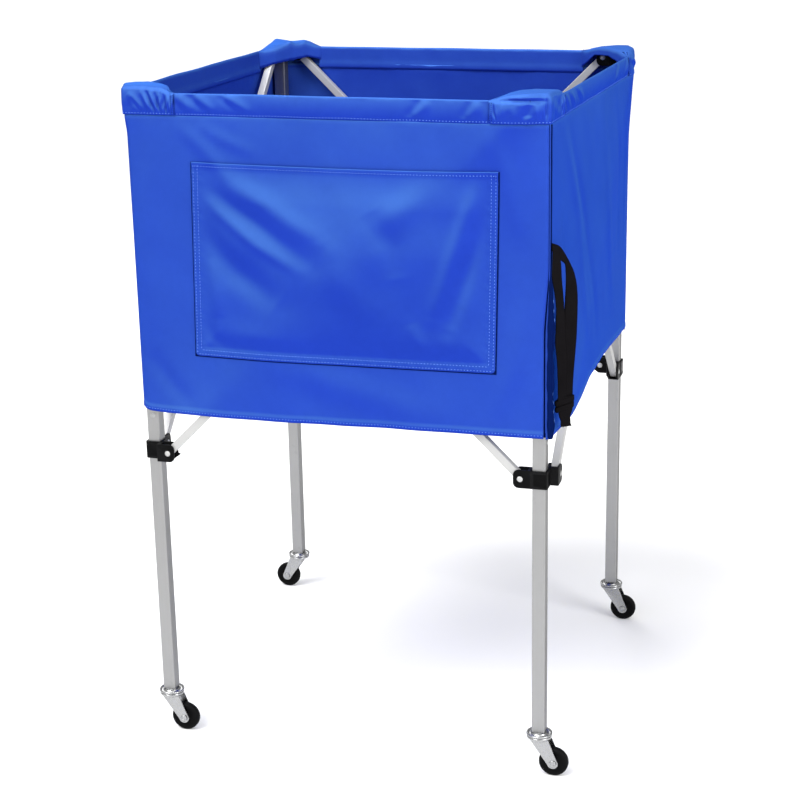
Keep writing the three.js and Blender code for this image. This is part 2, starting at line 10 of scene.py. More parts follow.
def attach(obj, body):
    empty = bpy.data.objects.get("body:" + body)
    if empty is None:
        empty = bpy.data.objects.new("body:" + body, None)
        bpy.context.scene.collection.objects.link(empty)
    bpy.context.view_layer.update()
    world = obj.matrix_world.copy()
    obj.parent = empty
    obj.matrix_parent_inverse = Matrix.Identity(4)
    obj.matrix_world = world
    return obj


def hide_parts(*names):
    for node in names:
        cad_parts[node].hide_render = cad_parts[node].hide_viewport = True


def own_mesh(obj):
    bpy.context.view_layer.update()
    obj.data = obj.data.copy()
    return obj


bl_info = {
    "name": "Folding ball cart",
    "version": (1, 0, 0),
    "blender": (4, 5, 0),
    "location": "3D View > Sidebar > Ball cart",
    "description": "Dresses a folding ball cart with its cloth basket, pocket, strap and casters",
    "category": "Object",
}

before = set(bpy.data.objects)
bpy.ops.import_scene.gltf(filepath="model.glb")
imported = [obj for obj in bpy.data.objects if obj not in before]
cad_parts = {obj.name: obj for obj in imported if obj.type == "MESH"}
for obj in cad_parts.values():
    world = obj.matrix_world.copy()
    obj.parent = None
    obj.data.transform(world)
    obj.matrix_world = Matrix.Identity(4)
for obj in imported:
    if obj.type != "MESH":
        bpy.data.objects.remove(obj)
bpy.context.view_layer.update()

# Sizes are in millimetres until a mesh is made. The ground is z = 0 and the middle of the open
# cart is on the Z axis. A wall is laid out as the front one is, and turned round by quarter turns.
MM = 0.001
CORNERS = ("front_left", "front_right", "back_right", "back_left")
SIDES = ("front", "right", "back", "left")
POST_OF_WALL = {
    "front": "front_left_post",
    "right": "front_right_post",
    "back": "back_left_post",
    "left": "front_left_post",
}
LEG_CENTRE = 305.0

CLOTH_INNER = 318.6  # from the middle to a wall's inner plane at a leg
RIDGE_INNER = 328.4  # the same where a bar pushes the wall out
WALL_END = CLOTH_INNER - 4.4  # of a wall's flat part
WRAP_RADIUS = 6.0  # of a wall's left end round its corner
WALL_THICKNESS = 1.3
FACE = 1.6  # from a wall's inner plane to its outer face
HEM_FACE = 2.9  # from a wall's inner plane to the rim's outer face
WALL_HALF = 318.0  # from a wall's middle to its ends
BASKET_BOTTOM = 546.0
RIM_FOLD = 0.9  # thickness of the rim's fold
HEM_BOTTOM = 999.0  # where a wall's own folds end
HEM_EDGE = 1001.5  # where the rim's fold ends on the outside
HEM_SEWN = 1004.2  # height of the rim's stitches
RIM = 1034.0
SEAM = 237.0  # where the rim's band stops and a hood starts
BAR_SLOPE = 544.0 / 554.0  # rise over run of a scissor bar
SLIDER_PIN = (-277.0, 481.0)  # place and height of a bar's lower rivet
BAR_HALF_CHORD = 8.56  # half of the width of a bar that a level cut shows
FLOOR_HEIGHT = 588.0
FLOOR_SAG = 12.0
FLOOR_CUT = 26.0  # from a bar to where the floor's corners are cut off
HOOD_SEED, POCKET_SEED, FLOOR_SEED = 50, 91, 130  # first numbers of the random draws

# Height of each wall's lower edge above the bottom of the basket, as (place, rise) pairs
LOWER_EDGES = {
    "front": ((-320, 1.0), (-120, 0.5), (80, 1.5), (320, 0.5)),
    "right": (
        (-320, 0.0), (-190, 6.0), (-112, 15.0), (-48, 24.0), (53, 26.0), (143, 20.0), (320, 6.0),
    ),
    "back": ((-320, 2.0), (-100, 9.0), (120, 10.0), (320, 2.0)),
    "left": ((-320, 2.0), (-110, 11.0), (100, 13.0), (320, 2.0)),
}

# Soft creases on each wall: points of (place, height), width and depth of each
CREASES = {
    "front": (
        (((-236, 990), (-200, 960), (-150, 905)), 11, 1.5),
        (((-205, 992), (-165, 970), (-110, 948)), 9, 1.1),
        (((236, 988), (262, 930), (280, 840)), 12, 1.2),
        (((-300, 640), (-262, 590), (-230, 560)), 14, -1.4),
        (((285, 760), (270, 650), (240, 570)), 16, 1.2),
        (((-290, 940), (-300, 800), (-288, 660)), 16, 1.3),
        (((-120, 640), (40, 600), (190, 560)), 24, 1.4),
    ),
    "right": (
        (((-230, 985), (-150, 850), (-90, 640)), 16, 2.0),
        (((-205, 985), (-105, 830), (-20, 640)), 13, -1.8),
        (((40, 985), (70, 820), (150, 640)), 18, 1.8),
        (((130, 985), (180, 840), (200, 690)), 14, -1.5),
        (((230, 985), (262, 860), (275, 700)), 12, 1.4),
        (((-250, 900), (-262, 760), (-255, 620)), 13, 1.4),
    ),
    "back": (
        (((-220, 985), (-120, 840), (-60, 650)), 17, 1.8),
        (((60, 985), (30, 830), (90, 640)), 20, -1.6),
        (((210, 985), (170, 820), (185, 640)), 15, 1.7),
    ),
    "left": (
        (((-210, 985), (-150, 840), (-160, 650)), 17, 1.8),
        (((10, 985), (-20, 830), (40, 640)), 20, 1.6),
        (((200, 985), (160, 820), (120, 640)), 15, -1.6),
    ),
}

# Where soft creases cross the rim, and how far each leans
RIM_CREASES = ((-234, 1.9), (-205, 2.4), (-158, 3.0), (150, -1.6), (222, -1.0))

POCKET_WIDTH = 463.0
POCKET_BOTTOM = 642.0
POCKET_TOP = 935.0
POCKET_CENTRE = 18.0
CORNER_CUT = 5.0  # rounding of the pocket's lower corners
TOP_STITCHES = 5.6  # below the pocket's open edge
POCKET_FACE = 3.1  # from the wall's inner plane to the pocket's outer side at its seams
POCKET_SLACK, POCKET_BELLY = 3.5, 7.5  # how far its cloth stands off all over, and in its middle
POCKET_LEAN = 7.0
POCKET_TALL = POCKET_TOP - POCKET_BOTTOM
TOP_SAG = 2.2  # of the pocket's open edge

# Folds that the loose pocket hangs in, given across its width and height as shares
POCKET_FOLDS = (
    (((0.06, 0.99), (0.34, 0.72), (0.47, 0.60)), 16, 3.6),
    (((0.02, 0.91), (0.30, 0.62), (0.42, 0.50)), 14, -3.4),
    (((0.02, 0.84), (0.22, 0.60), (0.36, 0.48)), 9, 1.8),
    (((0.01, 0.68), (0.15, 0.46), (0.30, 0.30)), 22, -5.2),
    (((0.05, 0.52), (0.07, 0.34), (0.08, 0.20)), 13, 2.6),
    (((0.02, 0.22), (0.06, 0.10), (0.12, 0.03)), 10, -2.4),
    (((0.95, 0.99), (0.89, 0.72), (0.80, 0.26)), 11, 4.0),
    (((0.99, 0.88), (0.93, 0.60), (0.85, 0.20)), 11, -4.2),
    (((0.80, 0.97), (0.70, 0.80), (0.60, 0.70)), 20, 2.6),
    (((0.60, 0.80), (0.67, 0.62), (0.69, 0.46)), 19, -3.0),
    (((0.44, 0.66), (0.50, 0.44), (0.62, 0.24)), 26, 1.6),
    (((0.73, 0.24), (0.76, 0.12), (0.78, 0.02)), 11, 2.2),
    (((0.14, 0.12), (0.30, 0.07), (0.50, 0.05)), 18, 1.8),
)


def colour_setting(name, description, default):
    return FloatVectorProperty(
        name=name, description=description, subtype="COLOR", size=3, min=0, max=1, default=default
    )


class BallCartCloth(bpy.types.PropertyGroup):
    colour: colour_setting("Cloth colour", "Coated nylon of the basket", (0.0180, 0.0620, 0.3800))
    thread_colour: colour_setting("Thread colour", "Sewing thread of the hems", (0.16, 0.32, 0.82))
    webbing_colour: colour_setting(
        "Webbing colour", "Woven carrying strap", (0.0062, 0.0056, 0.0064)
    )
    # Painted shade: a darker copy of the basket cloth for the shaded folds in the corners' seams,
    # round the pocket's edge and in the hoods' seams.
    seam_shade_colour: colour_setting(
        "Seam shade colour", "Cloth folded away in the corners' seams", (0.0020, 0.0080, 0.0650)
    )
    crease_share: FloatProperty(
        name="Creases", description="Share of the full depth of the creases in the walls",
        subtype="FACTOR", min=0, max=1.5, default=1.0,
    )
    stitch_pitch: FloatProperty(
        name="Stitch length", description="From one stitch to the next", subtype="DISTANCE",
        unit="LENGTH", min=0.002, max=0.008, default=0.0048,
    )


class BallCartMetal(bpy.types.PropertyGroup):
    leg_colour: colour_setting("Leg colour", "Satin tube of the legs", (0.330, 0.330, 0.330))
    bar_colour: colour_setting("Bar colour", "Tube of the scissor bars", (0.455, 0.455, 0.450))
    chrome_colour: colour_setting(
        "Plating colour", "Plated steel of the casters", (0.370, 0.373, 0.376)
    )
    moulding_colour: colour_setting(
        "Moulding colour", "Black nylon of the corner brackets", (0.0026, 0.0026, 0.0028)
    )
    wheel_colour: colour_setting("Wheel colour", "Solid caster wheels", (0.0028, 0.0028, 0.0030))
    edge_radius: FloatProperty(
        name="Moulding edges", description="Rounding of the brackets' edges", subtype="DISTANCE",
        unit="LENGTH", min=0.0001, max=0.001, default=0.0005,
    )


class BallCartStage(bpy.types.PropertyGroup):
    floor_colour: colour_setting("Floor colour", "Plain studio floor", (0.86, 0.86, 0.86))
    floor_size: FloatProperty(
        name="Floor size", description="Width of the studio floor", subtype="DISTANCE",
        unit="LENGTH", min=5, max=100, default=60,
    )
    key_power: FloatProperty(
        name="Key light", description="Power of the large soft light", subtype="POWER",
        unit="POWER", min=0, max=2000, default=34,
    )
    overhead_strength: FloatProperty(
        name="Overhead light", description="Irradiance of the broad light from above",
        min=0, max=20, default=2.4,
    )


# Shared effects


def new_group(name, inputs, outputs):
    """An empty node group. Inputs come with their defaults, and one without is a vector."""
    group = bpy.data.node_groups.new(name, "ShaderNodeTree")
    for label, default in inputs.items():
        kind = {float: "Float", tuple: "Color"}.get(type(default), "Vector")
        kind = "NodeSocket" + kind
        socket = group.interface.new_socket(label, in_out="INPUT", socket_type=kind)
        if default is not None:
            socket.default_value = default
    for label, kind in outputs.items():
        group.interface.new_socket(label, in_out="OUTPUT", socket_type="NodeSocket" + kind)
    entry = group.nodes.new("NodeGroupInput")
    leaving = group.nodes.new("NodeGroupOutput")
    return group, entry.outputs, leaving.inputs


def node(tree, kind, links=(), **values):
    """A node of that kind, with socket values and links given by name or place."""
    made = tree.nodes.new(kind)
    for key, value in values.items():
        setattr(made, key, value)
    for key, value in links:
        socket = made.inputs[key]
        if isinstance(value, bpy.types.NodeSocket):
            tree.links.new(value, socket)
        else:
            socket.default_value = value
    return made


def maths(tree, operation, *values):
    return node(tree, "ShaderNodeMath", enumerate(values), operation=operation).outputs[0]


def scaled(tree, colour, share):
    links = [(0, colour), ("Scale", share)]
    return node(tree, "ShaderNodeVectorMath", links, operation="SCALE").outputs[0]


def map_range(tree, value, source, target=(0.0, 1.0), **how):
    """A value carried over from one range to another and held at both ends."""
    return node(tree, "ShaderNodeMapRange", enumerate((value, *source, *target)), **how).outputs[0]


def split(tree, vector):
    return node(tree, "ShaderNodeSeparateXYZ", [(0, vector)]).outputs


def noise_value(tree, vector, scale, detail=2.0, roughness=0.5):
    links = [("Vector", vector), ("Scale", scale), ("Detail", detail), ("Roughness", roughness)]
    return node(tree, "ShaderNodeTexNoise", links).outputs["Fac"]


def weave_group():
    """Over-and-under threads that follow the cloth's own place in metres."""
    group, given, leaving = new_group(
        "Woven threads",
        {"Vector": None, "Threads per metre": 1400.0},
        {"Height": "Float", "Shade": "Float"},
    )
    parts = split(group, given["Vector"])
    across = maths(group, "ADD", parts["X"], parts["Y"])
    turns = maths(group, "MULTIPLY", given["Threads per metre"], math.pi)
    warp = maths(group, "SINE", maths(group, "MULTIPLY", across, turns))
    weft = maths(group, "SINE", maths(group, "MULTIPLY", parts["Z"], turns))
    crossing = maths(group, "MULTIPLY", warp, weft)
    ridges = maths(group, "ADD", maths(group, "ABSOLUTE", warp), maths(group, "ABSOLUTE", weft))
    height = maths(group, "MULTIPLY_ADD", crossing, 0.5, ridges)
    uneven = maths(group, "MULTIPLY_ADD", noise_value(group, given["Vector"], 900.0), 0.10, 0.93)
    group.links.new(maths(group, "MULTIPLY", height, 0.5), leaving["Height"])
    # Painted shade of the weave: the raised thread crossings a little lighter and the sunk ones
    # darker, added to an uneven tone at random.
    group.links.new(maths(group, "MULTIPLY_ADD", crossing, 0.04, uneven), leaving["Shade"])
    return group


def drift_group():
    """A colour that wanders a little over the surface, in broad and fine patches."""
    group, given, leaving = new_group(
        "Colour drift",
        {"Vector": None, "Colour": (0.5, 0.5, 0.5, 1), "Scale": 8.0, "Amount": 0.2},
        {"Colour": "Color", "Value": "Float"},
    )
    broad = noise_value(group, given["Vector"], given["Scale"], 3.0)
    fine = noise_value(group, given["Vector"], maths(group, "MULTIPLY", given["Scale"], 14.0), 2.0)
    both = maths(group, "MULTIPLY_ADD", broad, 0.7, maths(group, "MULTIPLY", fine, 0.3))
    centred = maths(group, "MULTIPLY", maths(group, "SUBTRACT", both, 0.5), given["Amount"])
    value = maths(group, "ADD", maths(group, "MULTIPLY", centred, 2.0), 1.0)
    group.links.new(scaled(group, given["Colour"], value), leaving["Colour"])
    group.links.new(both, leaving["Value"])
    return group


def grain_group():
    """Fine lines drawn out along Z, as on extruded tube, with a few scratches."""
    group, given, leaving = new_group(
        "Drawn grain",
        {"Vector": None, "Lines": 900.0, "Stretch": 0.02},
        {"Value": "Float", "Scratches": "Float"},
    )
    parts = split(group, given["Vector"])
    along = maths(group, "MULTIPLY", parts["Z"], given["Stretch"])
    drawn = node(
        group, "ShaderNodeCombineXYZ", enumerate((parts["X"], parts["Y"], along))
    ).outputs[0]
    lines = noise_value(group, drawn, given["Lines"], 4.0, 0.6)
    coarse = maths(group, "MULTIPLY", given["Lines"], 0.09)
    scratch = noise_value(group, given["Vector"], coarse, 5.0)
    group.links.new(lines, leaving["Value"])
    group.links.new(map_range(group, scratch, (0.63, 0.72)), leaving["Scratches"])
    return group


def painted_sheen_group():
    """Painted sheen and shade: the colour is deeper where the cloth faces down, away from the light
    above, and paler where it faces up towards it.
    """
    # The first tint is the painted shade on cloth facing down, the second the painted sheen on
    # cloth facing up.
    deep, pale = (0.72, 0.65, 0.95, 1), (2.0, 1.68, 1.02, 1)
    group, given, leaving = new_group(
        "Satin tone",
        {"Colour": (0.5, 0.5, 0.5, 1), "Deep": deep, "Pale": pale},
        {"Colour": "Color"},
    )
    rise = split(group, node(group, "ShaderNodeNewGeometry").outputs["Normal"])["Z"]
    level = map_range(group, rise, (-0.15, 0.30), interpolation_type="SMOOTHSTEP")
    links = [("Factor", level), (6, given["Deep"]), (7, given["Pale"])]
    tone = node(group, "ShaderNodeMix", links, data_type="RGBA").outputs[2]
    shaded = node(
        group, "ShaderNodeVectorMath", [(0, given["Colour"]), (1, tone)], operation="MULTIPLY"
    )
    group.links.new(shaded.outputs[0], leaving["Colour"])
    return group


def wear_group():
    """A mask that is high along outer edges, broken up by a fine noise."""
    group, given, leaving = new_group(
        "Edge wear", {"Vector": None, "Scale": 240.0, "Amount": 0.5}, {"Mask": "Float"}
    )
    edges = node(group, "ShaderNodeNewGeometry").outputs["Pointiness"]
    sharp = map_range(group, edges, (0.52, 0.62))
    patches = noise_value(group, given["Vector"], given["Scale"], 3.0)
    broken = maths(group, "MULTIPLY", sharp, patches)
    group.links.new(maths(group, "MULTIPLY", broken, given["Amount"]), leaving["Mask"])
    return group


GROUPS = {
    "Woven threads": weave_group,
    "Colour drift": drift_group,
    "Drawn grain": grain_group,
    "Edge wear": wear_group,
    "Satin tone": painted_sheen_group,
}


def use_group(tree, name, links):
    """The outputs of a shared group, which is made the first time it is asked for."""
    group = bpy.data.node_groups.get(name) or GROUPS[name]()
    return node(tree, "ShaderNodeGroup", links, node_tree=group).outputs


def drifting(tree, place, colour, scale, amount):
    links = [("Vector", place), ("Colour", (*colour, 1)), ("Scale", scale), ("Amount", amount)]
    return use_group(tree, "Colour drift", links)


def blank_material(name, colour, uniform):
    """A material with only its surface shader, the values that are the same all over it, and
    the coordinates that its patterns use."""
    made = bpy.data.materials.new(name)
    made.use_nodes = True
    made.diffuse_color = (*colour, 1)
    tree = made.node_tree
    surface = tree.nodes["Principled BSDF"]
    for label, value in uniform.items():
        surface.inputs[label].default_value = value
    place = node(tree, "ShaderNodeTexCoord").outputs["Object"]
    return made, tree, surface, place


def lead_in(tree, surface, colour, rough, height, strength, distance):
    """Lead a pattern's colour, roughness and height into the surface shader."""
    links = [("Height", height), ("Strength", strength), ("Distance", distance)]
    normal = node(tree, "ShaderNodeBump", links).outputs[0]
    for label, value in (("Base Color", colour), ("Roughness", rough), ("Normal", normal)):
        tree.links.new(value, surface.inputs[label])


def cloth_material(
    name, colour, threads=1400.0, depth=0.00022, satin=0.30, roughness=0.42, sheen_painted=False
):
    uniform = {
        "Metallic": satin,
        "Sheen Weight": 0.04,
        "Sheen Roughness": 0.35,
        "Sheen Tint": (*colour, 1),
        "Specular Tint": (0.06, 0.45, 1.0, 1),
        "Specular IOR Level": 0.0,
    }
    made, tree, surface, place = blank_material(name, colour, uniform)
    woven = use_group(tree, "Woven threads", [("Vector", place), ("Threads per metre", threads)])
    drift = drifting(tree, place, colour, 7.0, 0.16)
    # The threads' uneven tone with the weave's painted shade.
    coloured = scaled(tree, drift["Colour"], woven["Shade"])
    # Painted sheen and shade, by which way the cloth faces.
    if sheen_painted:
        coloured = use_group(tree, "Satin tone", [("Colour", coloured)])["Colour"]
    rough = maths(tree, "MULTIPLY_ADD", drift["Value"], 0.16, roughness - 0.08)
    rumple = noise_value(tree, place, 55.0, 4.0, 0.55)
    height = maths(tree, "MULTIPLY_ADD", rumple, 2.2, woven["Height"])
    lead_in(tree, surface, coloured, rough, height, 0.55, depth)
    return made


def metal_material(
    name, colour, roughness, lines, stretch, drift=0.05, edge_tint=1.0, metallic=1.0
):
    uniform = {
        "Metallic": metallic, "Specular IOR Level": 0.25, "Specular Tint": (*[edge_tint] * 3, 1)
    }
    made, tree, surface, place = blank_material(name, colour, uniform)
    links = [("Vector", place), ("Lines", lines), ("Stretch", stretch)]
    grain = use_group(tree, "Drawn grain", links)
    coloured = drifting(tree, place, colour, 5.0, drift)["Colour"]
    rough = maths(tree, "MULTIPLY_ADD", grain["Value"], 0.22, roughness - 0.11)
    worn = maths(tree, "MULTIPLY_ADD", grain["Scratches"], 0.10, rough)
    lead_in(tree, surface, coloured, worn, grain["Value"], 0.25, 0.00006)
    return made


def moulded_material(name, colour, roughness, grain_scale, wear_colour, wear=0.5):
    made, tree, surface, place = blank_material(name, colour, {"Specular IOR Level": 0.045})
    worn = use_group(tree, "Edge wear", [("Vector", place), ("Scale", 260.0), ("Amount", wear)])
    drift = drifting(tree, place, colour, 30.0, 0.25)
    links = [("Factor", worn["Mask"]), (6, drift["Colour"]), (7, (*wear_colour, 1))]
    mixed = node(tree, "ShaderNodeMix", links, data_type="RGBA").outputs[2]
    rough = maths(tree, "MULTIPLY_ADD", drift["Value"], 0.20, roughness - 0.10)
    lead_in(tree, surface, mixed, rough, noise_value(tree, place, grain_scale, 2.0), 0.35, 0.00008)
    return made


def webbing_material(name, colour):
    made, tree, surface, place = blank_material(name, colour, {"Specular IOR Level": 0.0})
    woven = use_group(tree, "Woven threads", [("Vector", place), ("Threads per metre", 620.0)])
    drift = drifting(tree, place, colour, 40.0, 0.35)
    rough = maths(tree, "MULTIPLY_ADD", drift["Value"], 0.2, 0.6)
    lead_in(tree, surface, drift["Colour"], rough, woven["Height"], 0.4, 0.0004)
    return made


# Each finish: what makes it, whose setting holds its colour, and its own values
FINISHES = {
    # The basket cloth has painted sheen and shade by which way it faces.
    "basket cloth": (cloth_material, "cloth", "colour", {"sheen_painted": True}),
    "hem thread": (
        cloth_material, "cloth", "thread_colour",
        {"threads": 3000.0, "depth": 0.0001, "satin": 0.1, "roughness": 0.6},
    ),
    # A darker copy of the basket cloth, as painted shade.
    "seam cloth": (cloth_material, "cloth", "seam_shade_colour", {}),
    "strap webbing": (webbing_material, "cloth", "webbing_colour", {}),
    "leg tube": (
        metal_material, "metal", "leg_colour",
        {"roughness": 0.46, "lines": 900.0, "stretch": 0.015, "edge_tint": 0.45},
    ),
    "bar tube": (
        metal_material, "metal", "bar_colour",
        {"roughness": 0.40, "lines": 700.0, "stretch": 0.9, "edge_tint": 0.45, "metallic": 0.45},
    ),
    "plated steel": (
        metal_material, "metal", "chrome_colour",
        {"roughness": 0.27, "lines": 300.0, "stretch": 1.0, "drift": 0.16},
    ),
    "rivet steel": (
        metal_material, "metal", "chrome_colour",
        {"roughness": 0.30, "lines": 500.0, "stretch": 1.0, "drift": 0.08},
    ),
    "moulded nylon": (
        moulded_material, "metal", "moulding_colour",
        {"roughness": 0.42, "grain_scale": 1300.0, "wear_colour": (0.020, 0.020, 0.021)},
    ),
    "wheel rubber": (
        moulded_material, "metal", "wheel_colour",
        {"roughness": 0.50, "grain_scale": 700.0, "wear_colour": [0.022] * 3, "wear": 0.7},
    ),
}


def material(name):
    """The named finish, made the first time it is asked for."""
    maker, group, colour, values = FINISHES[name]
    settings = getattr(bpy.context.scene, f"ball_cart_{group}")
    return bpy.data.materials.get(name) or maker(name, tuple(getattr(settings, colour)), **values)


# Meshes


def turn_about_z(points, quarter_turns):
    angle = quarter_turns * math.pi / 2
    c, s = round(math.cos(angle)), round(math.sin(angle))
    points = np.asarray(points, float)
    x, y, z = points[..., 0], points[..., 1], points[..., 2]
    return np.stack([c * x - s * y, s * x + c * y, z], axis=-1)


def in_scene(name, data):
    made = bpy.data.objects.new(name, data)
    bpy.context.scene.collection.objects.link(made)
    return made


def piece(name, parts, finish, body, stands_for=None, turns=0, spot=(0, 0, 0), sharp=None):
    """A new object from sets of points in millimetres and faces, turned by quarter turns, moved,
    and tied to its body; the solid that it stands for is hidden."""
    points, faces = gather(parts)
    points = turn_about_z(points, turns) + np.array(spot)
    mesh = bpy.data.meshes.new(name)
    mesh.from_pydata((points * MM).tolist(), [], faces)
    mesh.validate()
    mesh.materials.append(material(finish))
    mesh.shade_smooth()
    if sharp:
        mesh.set_sharp_from_angle(angle=math.radians(sharp))
    made = in_scene(name, mesh)
    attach(made, body)
    if stands_for:
        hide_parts(stands_for)
    return made


def cell_faces(at):
    """Faces of a grid of point numbers."""
    return np.stack([at[:-1, :-1], at[:-1, 1:], at[1:, 1:], at[1:, :-1]], axis=-1).reshape(-1, 4)


def strip_faces(first, second):
    """Faces between two lines of point numbers that run side by side."""
    return np.stack([second[1:], first[1:], first[:-1], second[:-1]], axis=-1)


def thick_sheet(grid, thickness):
    """Points and faces of a closed skin whose outer side is the grid, rows by columns by 3.
    Looked at from outside, columns run to the right and rows upwards."""
    normal = np.cross(np.gradient(grid, axis=1), np.gradient(grid, axis=0))
    normal /= np.maximum(np.linalg.norm(normal, axis=-1, keepdims=True), 1e-9)
    inner = grid - normal * np.asarray(thickness)[..., None]
    rows, columns = grid.shape[:2]
    at = np.arange(rows * columns).reshape(rows, columns)
    under = at + rows * columns
    faces = [
        cell_faces(at),
        cell_faces(under)[:, ::-1],
        strip_faces(at[0], under[0]),
        strip_faces(under[-1], at[-1]),
        strip_faces(under[:, 0], at[:, 0]),
        strip_faces(at[:, -1], under[:, -1]),
    ]
    return np.concatenate([grid.reshape(-1, 3), inner.reshape(-1, 3)]), np.concatenate(faces)


def looped(grid, capped=False):
    """Points and faces of rings of points whose last joins the first, unless both are capped."""
    rows, around = grid.shape[:2]
    at = np.arange(rows * around).reshape(rows, around)
    faces = cell_faces(np.pad(at, ((0, 0 if capped else 1), (0, 1)), mode="wrap")).tolist()
    if capped:
        faces += [at[0, ::-1].tolist(), at[-1].tolist()]
    return grid.reshape(-1, 3), faces


def mirrored(points, faces, axis):
    return points * np.where(np.arange(3) == axis, -1, 1), [list(face)[::-1] for face in faces]


def gather(parts):
    """Several sets of points and faces as one."""
    points, faces, start = [], [], 0
    for some_points, some_faces in parts:
        points.append(np.asarray(some_points, float))
        faces.extend((np.asarray(face) + start).tolist() for face in some_faces)
        start += len(some_points)
    return np.concatenate(points), faces


def stitches(path, normal, pitch, width=0.75, height=0.45):
    """A run of short sewn stitches that lie on a path of points. The normal leads off the cloth."""
    path = np.asarray(path, float)
    normal = np.broadcast_to(np.asarray(normal, float), path.shape)
    steps = np.linalg.norm(np.diff(path, axis=0), axis=1)
    reach = np.concatenate([[0], np.cumsum(steps)])
    count = max(1, int(reach[-1] / pitch))
    centres = (np.arange(count) + 0.5) * reach[-1] / count
    half = pitch * 0.29

    def on_path(places):
        return np.stack([np.interp(places, reach, path[:, axis]) for axis in range(3)], axis=-1)

    middle = on_path(centres)
    lead = on_path(np.minimum(centres + half, reach[-1]))
    trail = on_path(np.maximum(centres - half, 0))
    out = np.stack([np.interp(centres, reach, normal[:, axis]) for axis in range(3)], axis=-1)
    out /= np.linalg.norm(out, axis=1, keepdims=True)
    side = np.cross(lead - trail, out)
    side /= np.maximum(np.linalg.norm(side, axis=1, keepdims=True), 1e-9)
    corners = [
        trail,
        lead,
        middle + side * width / 2,
        middle - side * width / 2,
        middle + out * height,
        middle - out * height / 2,
    ]
    points = np.stack(corners, axis=1).reshape(-1, 3)
    shape = np.array(
        [[0, 4, 2], [0, 3, 4], [1, 2, 4], [1, 4, 3], [0, 2, 5], [0, 5, 3], [1, 5, 2], [1, 3, 5]]
    )
    faces = (shape[None] + 6 * np.arange(count)[:, None, None]).reshape(-1, 3)
    return points, faces


def ripple(place, height, seed, size):
    """Smooth wandering between -1 and 1, of about that wavelength."""
    chance = np.random.default_rng(seed)
    total = np.zeros(np.broadcast(place, height).shape)
    waves = 7
    for _ in range(waves):
        turn = chance.uniform(0, math.pi)
        rate = 2 * math.pi / (size * chance.uniform(0.7, 1.5))
        phase = chance.uniform(0, 2 * math.pi)
        total += np.sin(rate * (math.cos(turn) * place + math.sin(turn) * height) + phase)
    return total / waves


def crease(place, height, path, width, depth):
    """A soft fold along a path of (place, height) points that dies away at both ends."""
    path = np.asarray(path, float)
    steps = np.linalg.norm(np.diff(path, axis=0), axis=1)
    reach = np.concatenate([[0], np.cumsum(steps)]) / steps.sum()
    nearest = np.full(np.broadcast(place, height).shape, 1e9)
    along = np.zeros_like(nearest)
    for index, (start, end) in enumerate(zip(path, path[1:])):
        run = end - start
        share = ((place - start[0]) * run[0] + (height - start[1]) * run[1]) / (run @ run)
        share = np.clip(share, 0, 1)
        gap = np.hypot(place - start[0] - share * run[0], height - start[1] - share * run[1])
        closer = gap < nearest
        nearest = np.where(closer, gap, nearest)
        along = np.where(closer, reach[index] + share * (reach[index + 1] - reach[index]), along)
    dying = np.sin(math.pi * np.clip(along, 0.02, 0.98)) ** 0.6
    return depth * np.exp(-((nearest / width) ** 2)) * dying


def smooth_step(value):
    value = np.clip(value, 0, 1)
    return value * value * (3 - 2 * value)


def on_side(place, off, height):
    """Points of the front side, from a place along it, a distance from the middle and a height."""
    return np.stack(np.broadcast_arrays(place, np.negative(off), height), axis=-1)


# Walls


def ridge_place(height):
    return SLIDER_PIN[0] + (np.minimum(height, HEM_BOTTOM) - SLIDER_PIN[1]) / BAR_SLOPE


# How deep a wall's bulge and its ripples are, from broad to fine
BELLY, BILLOW, RUMPLE, PUCKER = 2.4, 1.5, 0.45, 0.5
HUG = 2.6  # how far the left wall is drawn in close to the front left leg below the rim

# How far a wall is held out by the hood at its right end
HOOD_SWELL = {"front": 2.0, "left": 0.5, "right": 6.5}


def wall_inner(height, place):
    """How far a wall's inner side stands from the middle of the cart: the bars push it out."""
    left = ridge_place(height) - BAR_HALF_CHORD
    right = ridge_place(height) + BAR_HALF_CHORD
    from_left = (place + CLOTH_INNER) / (left + CLOTH_INNER)
    from_right = (CLOTH_INNER - place) / (CLOTH_INNER - right)
    sharp = 16.0
    soft = np.exp(-sharp * from_left) + np.exp(-sharp * from_right) + math.exp(-sharp)
    share = np.clip(-np.log(soft) / sharp * 1.05 + 0.03, 0, 1.05)
    return CLOTH_INNER + (RIDGE_INNER - CLOTH_INNER) * share


def wall_drape(side, place, height):
    """How far the cloth stands off its taut place, outwards."""
    seed = 10 * SIDES.index(side)
    deep = bpy.context.scene.ball_cart_cloth.crease_share
    inside = np.cos(np.clip(place / WALL_HALF, -1, 1) * math.pi / 2) ** 0.5
    below_hem = 1 - np.exp(-np.maximum(HEM_BOTTOM - height, 0) / 40)
    drape = BELLY * inside * below_hem
    drape = drape + (BILLOW * ripple(place, height * 0.45, seed + 1, 210) + 0.5) * inside
    drape = drape + RUMPLE * ripple(place, height * 0.7, seed + 2, 60) * inside
    for path, width, depth in CREASES[side]:
        drape = drape + deep * crease(place, height, path, width, depth)
    swell = np.exp(-(((place - 272) / 30) ** 2)) * smooth_step((height - 800) / 190)
    drape = drape + HOOD_SWELL.get(side, 3.5) * swell
    at_hem = np.exp(-np.abs(HEM_BOTTOM - 5 - height) / 12)
    drape = drape + PUCKER * at_hem * ripple(place, height * 0.2, seed + 3, 13)
    return np.maximum(drape, -0.2)


def wall_face(side, place, height):
    hug = 0.0
    if side == "left":
        near = np.exp(-(((WALL_HALF - place) / 26) ** 2))
        hug = HUG * near * smooth_step((HEM_BOTTOM - height) / 30)
    return wall_inner(height, place) + FACE + wall_drape(side, place, height) - hug


def seam_place(height):
    """Where the front wall ends: at the corner itself above the strap, beside it lower down."""
    return 313.8 + 6.6 * smooth_step((height - 690) / 120)


